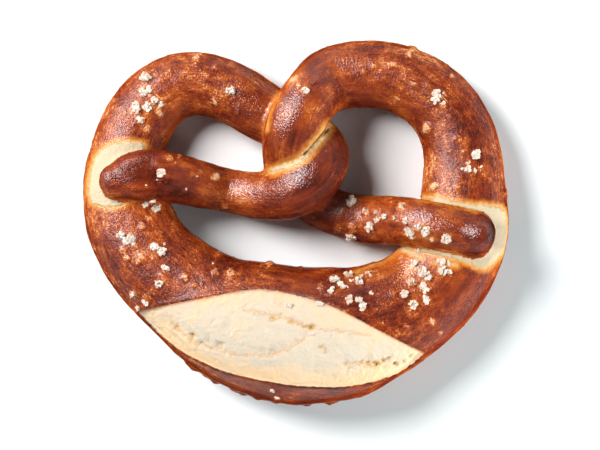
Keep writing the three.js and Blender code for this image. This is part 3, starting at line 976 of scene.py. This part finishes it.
def pale_depth(places, normals, along, rope):
    """How far inside bare dough each place is, in millimetres: negative on the crust."""
    flat = places[:, :2]
    upper = normals[:, 2] > FLANK_FACING[0]
    sunk = FLANK_FADE * (1 - smoothstep(normals[:, 2], *FLANK_FACING))
    on_arm = (along < ARM_ENDS[0]) | (along > rope.length - ARM_ENDS[1])
    pale = np.full(len(places), -FAR)
    for patch in PALE_PATCHES:
        inside = depth_inside(flat, smooth_line([*patch, patch[0]], 6)[:-1])
        pale = np.maximum(pale, np.where(upper & ~on_arm, inside - sunk, -FAR))
    for half_width, route in PALE_SEAMS:
        away = distance_to_line(flat, smooth_line(route, 8))
        pale = np.maximum(pale, np.where(upper, half_width - away - sunk, -FAR))
    return pale


def browning_and_shade(places):
    """How much darker than usual each place is. On bare dough this is painted shade."""
    amount = np.zeros(len(places))
    for x, y, reach, strength in BROWNING_AND_SHADE:
        amount += strength * nearness(places, x, y, reach)
    return amount


def grained(places):
    """How grained the crust is at each place, from 0 where it baked smooth to 1."""
    return 1 - np.max([nearness(places, *spot) for spot in SMOOTH], axis=0)


def gloss(places, up):
    """How much the crust shines at each place: less on its flanks, and where it baked dull."""
    shine = np.maximum(smoothstep(up, 0.45, 0.85), 0.3 * (1 - smoothstep(up, 0.0, 0.25)))
    for spot in DULL:
        shine *= 1 - nearness(places, *spot)
    return shine


def settle(places):
    """Flattens what would be below the tray, with a small rounding where the sides meet it."""
    height = (places[:, 2] + np.hypot(places[:, 2], TRAY_ROUNDING)) / 2
    return np.column_stack([places[:, :2], height - height.min()])


def bake_dough(settings):
    """The whole pretzel as one skin, with its relief and what its material reads."""
    draw = random.Random(SEED)
    rope = Rope(ROUTE)
    bm = bmesh.new()
    roll_rope(bm, rope)
    nubs = add_nubs(bm, rope, draw)
    piece = mesh_object("baked_dough", bm)
    fuse(piece, settings.voxel)
    mesh = piece.data

    apart = nearest_on_rope(places_of(mesh), rope)[-1]
    soften(mesh, np.ones(len(apart), dtype=bool), SMOOTHINGS[0])
    soften(mesh, apart < TOUCHING, SMOOTHINGS[1])

    move_to(mesh, pressed(places_of(mesh)))
    places, normals = places_of(mesh), normals_of(mesh)
    along, aside, above, apart = nearest_on_rope(places, rope)
    slashed, inside = slash_relief(places, rope, along, np.arctan2(above, aside), settings)
    torn_down, torn = crumb_relief(places[:, :2])
    in_crumb = smoothstep(inside, 0, 1.2)
    blisters, cover, paleness = blister_relief(places, normals, nubs, draw)
    uneven = settings.waviness * waves(places, ROPE_WAVES)
    wrinkled = blisters + waves(places, CRUST_WAVES)
    crumbly = torn_down + waves(places, CRUMB_WAVES)
    split = np.where(normals[:, 2] > 0, distance_to_line(places[:, :2], smooth_line(SPLIT, 8)), SPLIT_AWAY)
    split_down = SPLIT_DEPTH * (1 - smoothstep(split, 0, SPLIT_WIDTH))
    out = uneven + slashed + (1 - in_crumb) * wrinkled + in_crumb * crumbly - split_down
    places = settle(places + out[:, None] * normals)
    move_to(mesh, places)

    found = {
        "slash": inside,
        "pale": pale_depth(places, normals, along, rope),
        "seam": np.minimum(apart, FAR),
        "browning_and_shade": browning_and_shade(places),
        "grained": grained(places),
        "glossy": gloss(places, normals[:, 2]),
        # crack carries the cracks and also the painted shade at the bottoms of pits.
        "crack": torn * in_crumb,
        "split": split,
        "blister": cover,
        "paleness": paleness,
        "upper_edge": distance_to_line(places[:, :2], smooth_line(SLASH_UPPER, 8)),
        "strand": np.column_stack([along, aside, above]),
    }
    for name, values in found.items():
        store(mesh, name, values)
    for face in mesh.polygons:
        face.use_smooth = True
    mesh.transform(Matrix.Scale(MM, 4))
    return piece


# ---- the salt ----


def add_crystal(bm, shape, draw):
    """One crystal: the hull of a few corners, which leaves flat faces and sharp edges, as crushed salt
    breaks."""
    verts = []
    for _ in range(CRYSTAL_POINTS):
        way = Vector([draw.gauss(0, 1) for _ in range(3)]).normalized()
        blocky = max(map(abs, way)) ** 0.6
        verts.append(bm.verts.new(shape @ (way * draw.uniform(0.8, 1) / blocky)))
    bmesh.ops.convex_hull(bm, input=verts)
    bmesh.ops.delete(bm, geom=[vert for vert in verts if not vert.link_faces], context="VERTS")


def add_clump(bm, frame_here, size_along, size_across, draw):
    """One grain or clump, in a frame that lies on the crust: crystals of all sizes grown together."""
    thick = 0.5 * min(size_across, 2.6)
    core = Matrix.Diagonal((0.5 * size_along, 0.5 * size_across, thick, 1))
    add_crystal(bm, frame_here @ Matrix.Translation((0, 0, 0.1 * thick)) @ core, draw)
    for i in range(round(2 + 0.6 * size_along * size_across)):
        turn = i * 2.4 + draw.uniform(-0.4, 0.4)
        reach = draw.uniform(0.26, 0.42)
        small = draw.uniform(0.26, 0.42) * min(size_across, 2.8)
        x = reach * size_along * math.cos(turn)
        y = reach * size_across * math.sin(turn)
        place = (x, y, thick * draw.uniform(0, 0.75))
        tilt = Euler([draw.uniform(0, math.pi) for _ in range(3)]).to_matrix().to_4x4()
        shape = Matrix.Diagonal((small, small * draw.uniform(0.7, 1), small * draw.uniform(0.6, 0.9), 1))
        add_crystal(bm, frame_here @ Matrix.Translation(place) @ tilt @ shape, draw)


def sprinkle_salt(dough, settings):
    """Lays each clump of salt on the dough, straight below its place."""
    surface = BVHTree.FromObject(dough, bpy.context.evaluated_depsgraph_get())
    draw = random.Random(settings.seed)
    bm = bmesh.new()
    stain = []
    for x, y, size_along, size_across, turn, soaked in SALT:
        hit, normal, _, _ = surface.ray_cast(Vector((x, y, DROP_HEIGHT)) * MM, Vector((0, 0, -1)))
        if hit is None:
            raise RuntimeError(f"salt at {x}, {y} fell beside the dough")
        way = Vector((math.cos(math.radians(turn)), math.sin(math.radians(turn)), 0))
        across = normal.cross(way).normalized()
        axes = Matrix((across.cross(normal), across, normal)).transposed().to_4x4()
        lies = Matrix.Translation(hit / MM) @ axes
        before = len(bm.verts)
        add_clump(bm, lies, size_along, size_across, draw)
        bm.verts.ensure_lookup_table()
        for vert in bm.verts[before:]:
            height = (vert.co - hit / MM).dot(normal) / (0.4 * size_across)
            stain.append(soaked + 0.4 * (1 - min(max(height, 0), 1)))
    bmesh.ops.recalc_face_normals(bm, faces=bm.faces)
    piece = mesh_object("pretzel_salt", bm)
    store(piece.data, "stain", np.array(stain))
    piece.data.transform(Matrix.Scale(MM, 4))
    return piece


# ---- materials ----

EASED = {"interpolation_type": "SMOOTHSTEP"}  # for a map range that starts and ends gently
BLENDED = {"data_type": "RGBA", "out": 2}  # for a mix of two colours
PORE_SIZE = 1.428571  # of the crumb's grain
GRIT_SIZE = 0.7142857  # of the salt's grit
SURFACE_NUMBERS = (
    "slash", "pale", "seam", "browning_and_shade", "grained", "glossy", "crack", "split", "blister", "paleness",
    "upper_edge",
)


def add(tree, kind, inputs=None, out=0, **settings):
    """Adds a node with its settings, sets or links its inputs, and gives one of its outputs, or the node
    itself where that is None."""
    node = tree.nodes.new("ShaderNode" + kind)
    for name, value in settings.items():
        setattr(node, name, value)
    for socket, value in (inputs or {}).items():
        if isinstance(value, bpy.types.NodeSocket):
            tree.links.new(value, node.inputs[socket])
        else:
            node.inputs[socket].default_value = value
    return node if out is None else node.outputs[out]


def stirred(tree, base, uneven, amounts):
    """A number with some of the noises added, each about its middle and by its own amount."""
    for name, amount in amounts.items():
        shift = add(tree, "Math", {0: uneven[name], 1: 0.5}, operation="SUBTRACT")
        base = add(tree, "Math", {0: shift, 1: amount, 2: base}, operation="MULTIPLY_ADD")
    return base


def new_material(name):
    """An empty material, and its node tree."""
    material = bpy.data.materials.new(name)
    material.use_nodes = True
    material.node_tree.nodes.clear()
    return material, material.node_tree


def baked_crust(settings):
    """Lye-dipped bread crust, with its crumb where it was slashed.

    Lye gels the dough's skin, which bakes to a thin brown glaze: glossy over fine pebbles, smooth and
    dark where the dough was stretched, and elsewhere grained along the rope from red-brown to orange,
    with pale specks and blisters where the skin is thinnest. Some pale spots and the specks' pinkish tan
    are painted highlights. Bare dough and crumb are matt and cream, and tan where they meet the crust.
    Painted shade darkens the right-hand patch of bare dough, the bottoms of pits and the split, and
    painted light makes the dough beside the split a lighter peach."""
    material, tree = new_material("lye_dipped_crust")
    place = add(tree, "TexCoord", out="Object")
    mm = add(tree, "VectorMath", {0: place, "Scale": 1 / MM}, operation="SCALE")
    read = {name: add(tree, "Attribute", attribute_name=name, out="Fac") for name in SURFACE_NUMBERS}
    strand = add(tree, "Attribute", attribute_name="strand", out="Vector")
    uneven = unevenness(tree, mm, strand)
    skin, bare = bare_dough(tree, crust_colour(tree, uneven, read, settings), uneven, read, settings)
    wobble = add(tree, "Math", {0: uneven["speck"], 1: 0.5, 2: read["slash"]}, operation="MULTIPLY_ADD")
    opened = add(tree, "MapRange", {0: wobble, 1: 0.2, 2: 0.4})
    crumb = crumb_colour(tree, uneven, read, settings)
    whole = add(tree, "Mix", {0: opened, 6: skin, 7: crumb}, **BLENDED)

    matt = add(tree, "Math", {0: opened, 1: bare}, operation="MAXIMUM")
    glaze = add(tree, "MapRange", {0: read["grained"], 3: 0.1, 4: 0.3})
    roughness = add(tree, "Mix", {0: matt, 2: glaze, 3: 0.75}, data_type="FLOAT")
    relief = fine_relief(tree, mm, uneven, read, matt)
    shine = add(tree, "MapRange", {0: read["grained"], 3: 0.5, 4: 0.25})
    shine = add(tree, "Math", {0: shine, 1: read["glossy"]}, operation="MULTIPLY")
    surface = {"Base Color": whole, "Roughness": roughness, "IOR": 1.5, "Normal": relief}
    shader = add(tree, "BsdfPrincipled", {**surface, "Specular IOR Level": shine})
    add(tree, "OutputMaterial", {"Surface": shader}, out=None)
    return material


def unevenness(tree, mm, strand):
    """The noises that the crust and the crumb share: clouds 8 mm across, streaks, specks and grain all
    the way down to half a millimetre, and hairs and threads along the rope and across it."""
    found = {}
    for name, size, detail in (("cloud", 8, 3), ("speck", 1.8, 2), ("grain", 0.6, 2)):
        fineness = {"Scale": 1 / size, "Detail": detail, "Roughness": 0.6}
        found[name] = add(tree, "TexNoise", {"Vector": mm, **fineness})
    for name, along, across, detail, swirl in (
        ("streak", 12, 3.2, 2, 0.4),
        ("fibre", 2.4, 0.6, 2, 1.2),
        ("ripple", 0.6, 2.5, 1, 0.4),
        ("thread", 2.6, 1.1, 1, 1.0),
    ):
        combed = add(tree, "Mapping", {"Vector": strand, "Scale": (1 / along, 1 / across, 1 / across)})
        fineness = {"Scale": 1, "Detail": detail, "Roughness": 0.6, "Distortion": swirl}
        found[name] = add(tree, "TexNoise", {"Vector": combed, **fineness})
    return found


def crust_colour(tree, uneven, read, settings):
    """The glazed crust's brown, from its darkest to where it is thinnest. Its palest pinkish tan is partly
    painted glints.
    """
    fine = stirred(tree, 0, uneven, {"fibre": 1.2, "ripple": 0.4, "grain": 0.75, "speck": 0.4})
    amount = add(tree, "MapRange", {0: read["grained"], 3: 0.14, 4: 1.0})
    tone = add(tree, "Math", {0: read["browning_and_shade"], 1: -0.4, 2: 0.46}, operation="MULTIPLY_ADD")
    tone = add(tree, "Math", {0: fine, 1: amount, 2: tone}, operation="MULTIPLY_ADD")
    tone = stirred(tree, tone, uneven, {"cloud": 0.8, "streak": 0.8})
    near_seam = add(tree, "MapRange", {0: read["seam"], 1: 4.5, 2: 0.3, 3: 0, 4: 0.2}, **EASED)
    tone = add(tree, "Math", {0: tone, 1: near_seam}, operation="ADD")

    # blisters, pale according to how thin their skin is, some of them pale spots that are painted
    # highlights; and strewn specks in patches, partly thin crust and partly painted glints
    crumbled = add(tree, "Math", {0: uneven["grain"], 1: 1.6, 2: -0.8}, operation="MULTIPLY_ADD")
    spot = add(tree, "Math", {0: crumbled, 1: read["blister"]}, operation="ADD")
    spot = add(tree, "MapRange", {0: spot, 1: 0.1, 2: 1.2}, **EASED)
    spot = add(tree, "Math", {0: spot, 1: read["paleness"]}, operation="MULTIPLY")
    # These specks are coloured partly as painted glints.
    specks = add(tree, "MapRange", {0: uneven["grain"], 1: 0.6, 2: 0.72}, **EASED)
    specks = add(tree, "Math", {0: specks, 1: 0.6}, operation="MULTIPLY")
    off_line = add(tree, "Math", {0: uneven["thread"], 1: 0.5}, operation="SUBTRACT")
    off_line = add(tree, "Math", {0: off_line}, operation="ABSOLUTE")
    threads = add(tree, "MapRange", {0: off_line, 1: 0.05, 2: 0.0}, **EASED)
    specks = add(tree, "Math", {0: threads, 1: 0.5, 2: specks}, operation="MULTIPLY_ADD")
    patch = add(tree, "MapRange", {0: uneven["cloud"], 1: 0.42, 2: 0.6, 4: 0.45})
    strewn = add(tree, "Math", {0: specks, 1: patch}, operation="MULTIPLY")
    strewn = add(tree, "Math", {0: strewn, 1: read["grained"]}, operation="MULTIPLY")
    tone = add(tree, "Math", {0: strewn, 1: tone}, operation="ADD")
    tone = add(tree, "Math", {0: spot, 1: 0.55, 2: tone}, operation="MULTIPLY_ADD")
    browned = add(tree, "ValToRGB", {0: tone}, out=None)
    steps = browned.color_ramp.elements
    steps[0].color = settings.crust_burnt
    steps[1].color = settings.crust_thin_and_glint
    for step, shade in ((0.3, settings.crust_dark), (0.5, settings.crust_mid), (0.74, settings.crust_light)):
        steps.new(step).color = shade
    cream = add(tree, "MapRange", {0: spot, 1: 0.6, 2: 1.0})
    return add(tree, "Mix", {0: cream, 6: browned.outputs[0], 7: settings.blister}, **BLENDED)


def bare_dough(tree, crust, uneven, read, settings):
    """Bare dough at the arm ends and seams, reached through tan, and how bare each place is. The dough is
    darkened as painted shade where the crust darkening is high, and is a lighter peach beside the split as
    painted light. A dark line of painted shade runs along the split.
    """
    ragged = stirred(tree, read["pale"], uneven, {"speck": 2.2, "fibre": 0.8})
    skin = crust
    for low, high, shade in ((-2.6, -0.9, settings.tan), (-1.3, -0.2, settings.gold)):
        amount = add(tree, "MapRange", {0: ragged, 1: low, 2: high}, **EASED)
        skin = add(tree, "Mix", {0: amount, 6: skin, 7: shade}, **BLENDED)
    bare = add(tree, "MapRange", {0: ragged, 1: -0.4, 2: 0.7}, **EASED)
    # Beside the split the bare dough takes the lighter peach colour. This is painted light where the strand
    # above shades the seam.
    stretched = add(tree, "MapRange", {0: read["split"], 1: 10, 2: 6})
    dough = add(tree, "Mix", {0: stretched, 6: settings.dough, 7: settings.peach}, **BLENDED)
    # Where the crust darkening is high, bare dough is mixed towards the darker copy. This is painted shade,
    # chiefly on the right-hand patch.
    shaded_dough = add(tree, "MapRange", {0: read["browning_and_shade"], 1: 0.25, 2: 1.0})
    dough = add(tree, "Mix", {0: shaded_dough, 6: dough, 7: settings.shaded_dough}, **BLENDED)
    skin = add(tree, "Mix", {0: bare, 6: skin, 7: dough}, **BLENDED)
    # A dark line along the split: painted shade in the torn seam.
    torn = add(tree, "Math", {0: uneven["speck"], 1: 0.9, 2: read["split"]}, operation="MULTIPLY_ADD")
    torn = add(tree, "MapRange", {0: torn, 1: 0.88, 2: 0.66})
    skin = add(tree, "Mix", {0: torn, 6: skin, 7: settings.pit_shade}, **BLENDED)
    return skin, bare


def crumb_colour(tree, uneven, read, settings):
    """Cream crumb, blotched with peach, more so towards the crust below it. It is tan where it is torn, and
    dark brown at the bottoms of pits as painted shade.
    """
    low_edge = add(tree, "MapRange", {0: read["slash"], 1: 9, 2: 1}, **EASED)
    below = add(tree, "MapRange", {0: read["upper_edge"], 1: 2.5, 2: 12, 3: 0.55}, **EASED)
    peach = add(tree, "Math", {0: low_edge, 1: below}, operation="MULTIPLY")
    peach = stirred(tree, peach, uneven, {"cloud": 1.8, "speck": 0.6})
    crumb = add(tree, "Mix", {0: peach, 6: settings.crumb, 7: settings.peach}, **BLENDED)
    torn = add(tree, "Math", {0: uneven["grain"], 1: 2.4, 2: -0.2}, operation="MULTIPLY_ADD")
    torn = add(tree, "Math", {0: torn, 1: read["crack"]}, operation="MULTIPLY")
    # The second colour is painted shade at the bottoms of pits.
    for low, high, shade in ((0.15, 0.7, settings.crack), (0.75, 1.15, settings.pit_shade)):
        amount = add(tree, "MapRange", {0: torn, 1: low, 2: high}, **EASED)
        crumb = add(tree, "Mix", {0: amount, 6: crumb, 7: shade}, **BLENDED)
    ring = add(tree, "MapRange", {0: read["upper_edge"], 1: 0.8, 2: 0.15}, **EASED)
    ring = add(tree, "Math", {0: ring, 1: 0.85}, operation="MULTIPLY")
    return add(tree, "Mix", {0: ring, 6: crumb, 7: settings.tan}, **BLENDED)


def fine_relief(tree, mm, uneven, read, matt):
    """Pebbles half a millimetre and nearly a millimetre across on the crust, softer where it is grained,
    and grain on the crumb."""
    height = add(tree, "Math", {0: uneven["fibre"], 1: 0.06}, operation="MULTIPLY")
    for size, depth in ((0.45, 0.11), (0.85, 0.12)):
        pebbles = {"Vector": mm, "Scale": 1 / size, "Smoothness": 0.4}
        cells = add(tree, "TexVoronoi", pebbles, feature="SMOOTH_F1")
        height = add(tree, "Math", {0: cells, 1: -depth, 2: height}, operation="MULTIPLY_ADD")
    amount = add(tree, "MapRange", {0: read["grained"], 3: 1.15, 4: 0.95})
    height = add(tree, "Math", {0: height, 1: amount}, operation="MULTIPLY")
    pores = add(tree, "TexNoise", {"Vector": mm, "Scale": 1 / PORE_SIZE, "Detail": 4, "Roughness": 0.6})
    crumb_height = add(tree, "Math", {0: pores, 1: 0.55}, operation="MULTIPLY")
    both = add(tree, "Mix", {0: matt, 2: height, 3: crumb_height}, data_type="FLOAT")
    return add(tree, "Bump", {"Strength": 1, "Distance": MM, "Height": both})


def pretzel_salt(settings):
    """Compacted pretzel salt: opaque white grains with a dry, slightly rough surface, tan low down
    where they took up the crust's colour."""
    material, tree = new_material("pretzel_salt")
    place = add(tree, "TexCoord", out="Object")
    mm = add(tree, "VectorMath", {0: place, "Scale": 1 / MM}, operation="SCALE")
    stain = add(tree, "Attribute", attribute_name="stain", out="Fac")
    grit = add(tree, "TexNoise", {"Vector": mm, "Scale": 1 / GRIT_SIZE, "Detail": 3})
    soaked = add(tree, "Math", {0: grit, 1: 1.6, 2: -0.8}, operation="MULTIPLY_ADD")
    soaked = add(tree, "Math", {0: soaked, 1: stain}, operation="ADD")
    soaked = add(tree, "MapRange", {0: soaked, 1: 0.25, 2: 1.1})
    tint = add(tree, "Mix", {0: soaked, 6: settings.salt, 7: settings.stained}, **BLENDED)
    bump = add(tree, "Bump", {"Strength": 0.8, "Distance": 0.3 * MM, "Height": grit})
    glow = {"Subsurface Weight": 0.5, "Subsurface Radius": (1, 0.8, 0.6), "Subsurface Scale": 0.6 * MM}
    surface = {"Base Color": tint, "Roughness": 0.4, "IOR": 1.54, "Normal": bump}
    shader = add(tree, "BsdfPrincipled", {**surface, **glow})
    add(tree, "OutputMaterial", {"Surface": shader}, out=None)
    return material


def studio_floor(settings):
    """Matt white paper."""
    material, tree = new_material("studio_paper")
    shader = add(tree, "BsdfDiffuse", {"Color": settings.floor, "Roughness": 1})
    add(tree, "OutputMaterial", {"Surface": shader}, out=None)
    return material


# ---- the stage ----


def studio_sky(settings):
    """A fill that is bright near the horizon and darker overhead, where reflections still show some."""
    world = bpy.data.worlds.new("studio_fill")
    world.use_nodes = True
    tree = world.node_tree
    tree.nodes.clear()
    way = add(tree, "TexCoord", out="Generated")
    height = add(tree, "SeparateXYZ", {0: way}, out="Z")
    span = {1: 0.02, 2: 0.51, 3: settings.sky_low, 4: settings.sky_high}
    amount = add(tree, "MapRange", {0: height, **span}, **EASED)
    mirrored = add(tree, "LightPath", out="Is Glossy Ray")
    amount = add(tree, "Math", {0: mirrored, 1: settings.sky_gloss, 2: amount}, operation="MULTIPLY_ADD")
    shader = add(tree, "Background", {"Color": settings.fill, "Strength": amount})
    add(tree, "OutputWorld", {"Surface": shader}, out=None)
    bpy.context.scene.world = world


def soft_light(name, power, azimuth, elevation, distance, angle):
    """A round soft light that faces the pretzel from a direction, and fills an angle seen from it."""
    lamp = bpy.data.objects.new(name, bpy.data.lights.new(name, "AREA"))
    lamp.data.shape = "DISK"
    lamp.data.size = 2 * distance * math.tan(math.radians(angle / 2))
    lamp.data.energy = power
    lamp.visible_camera = False
    turn = math.radians(azimuth)
    rise = math.radians(elevation)
    way = Vector((math.cos(turn) * math.cos(rise), math.sin(turn) * math.cos(rise), math.sin(rise)))
    lamp.location = Vector(VIEW_CENTRE) + distance * way
    lamp.rotation_euler = way.to_track_quat("Z", "Y").to_euler()
    bpy.context.scene.collection.objects.link(lamp)
    return lamp


# ---- operators ----


class PRETZEL_OT_bake_dough(bpy.types.Operator):
    """Rolls, twists, slashes and bakes the dough"""

    bl_idname = "pretzel.bake_dough"
    bl_label = "Bake dough"

    def execute(self, context):
        settings = context.scene.pretzel_crust
        dough = bake_dough(settings)
        dough.data.materials.append(baked_crust(settings))
        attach(dough, "root")
        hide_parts("pretzel")
        return {"FINISHED"}


class PRETZEL_OT_sprinkle_salt(bpy.types.Operator):
    """Sprinkles coarse salt on the baked dough"""

    bl_idname = "pretzel.sprinkle_salt"
    bl_label = "Sprinkle salt"

    def execute(self, context):
        settings = context.scene.pretzel_salt
        dough = bpy.data.objects["baked_dough"]
        salt = sprinkle_salt(dough, settings)
        salt.data.materials.append(pretzel_salt(settings))
        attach(salt, "root")
        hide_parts("pretzel")
        return {"FINISHED"}


class PRETZEL_OT_set_stage(bpy.types.Operator):
    """Lays the floor, and sets the lights and the camera straight above"""

    bl_idname = "pretzel.set_stage"
    bl_label = "Set stage"

    def execute(self, context):
        settings = context.scene.pretzel_stage
        bm = bmesh.new()
        bmesh.ops.create_grid(bm, x_segments=1, y_segments=1, size=FLOOR_REACH)
        floor = mesh_object("floor", bm)
        floor.data.materials.append(studio_floor(settings))
        studio_sky(settings)

        soft_light("key_light", settings.key_power, **KEY).visible_glossy = False
        soft_light("sheen_light", settings.sheen_power, **SHEEN).visible_diffuse = False
        for power, place in ((settings.side_power, SIDE), (settings.front_power, FRONT)):
            bounce = soft_light("bounce_light", power, **place)
            bounce.data.color = settings.bounce[:3]
            bounce.visible_glossy = False

        camera = bpy.data.objects.new("camera", bpy.data.cameras.new("camera"))
        camera.data.sensor_width = SENSOR_WIDTH
        camera.data.lens = SENSOR_WIDTH * (CAMERA_HEIGHT - VIEW_CENTRE[2]) / VIEW_WIDTH
        camera.data.clip_start = 0.01
        camera.location = (VIEW_CENTRE[0], VIEW_CENTRE[1], CAMERA_HEIGHT)
        context.scene.collection.objects.link(camera)
        context.scene.camera = camera
        context.scene.view_settings.view_transform = "Standard"
        context.scene.view_settings.look = "None"
        return {"FINISHED"}


class PRETZEL_PT_sidebar(bpy.types.Panel):
    """Lists the steps and their settings in the sidebar"""

    bl_idname = "PRETZEL_PT_sidebar"
    bl_label = "Soft pretzel"
    bl_space_type = "VIEW_3D"
    bl_region_type = "UI"
    bl_category = "Pretzel"

    def draw(self, context):
        for owner, operator in STEPS:
            box = self.layout.box()
            settings = getattr(context.scene, owner)
            for name in settings.__annotations__:
                box.prop(settings, name)
            box.operator(operator.bl_idname)


STEPS = [
    ("pretzel_crust", PRETZEL_OT_bake_dough),
    ("pretzel_salt", PRETZEL_OT_sprinkle_salt),
    ("pretzel_stage", PRETZEL_OT_set_stage),
]
GROUPS = {
    "pretzel_crust": PretzelCrustSettings,
    "pretzel_salt": PretzelSaltSettings,
    "pretzel_stage": PretzelStageSettings,
}


def register():
    for name, group in GROUPS.items():
        bpy.utils.register_class(group)
        setattr(bpy.types.Scene, name, PointerProperty(type=group))
    for _, operator in STEPS:
        bpy.utils.register_class(operator)
    bpy.utils.register_class(PRETZEL_PT_sidebar)


def unregister():
    bpy.utils.unregister_class(PRETZEL_PT_sidebar)
    for _, operator in reversed(STEPS):
        bpy.utils.unregister_class(operator)
    for name, group in reversed(GROUPS.items()):
        delattr(bpy.types.Scene, name)
        bpy.utils.unregister_class(group)


def main():
    register()
    bpy.ops.pretzel.bake_dough()
    bpy.ops.pretzel.sprinkle_salt()
    bpy.ops.pretzel.set_stage()


if __name__ == "__main__":
    main()
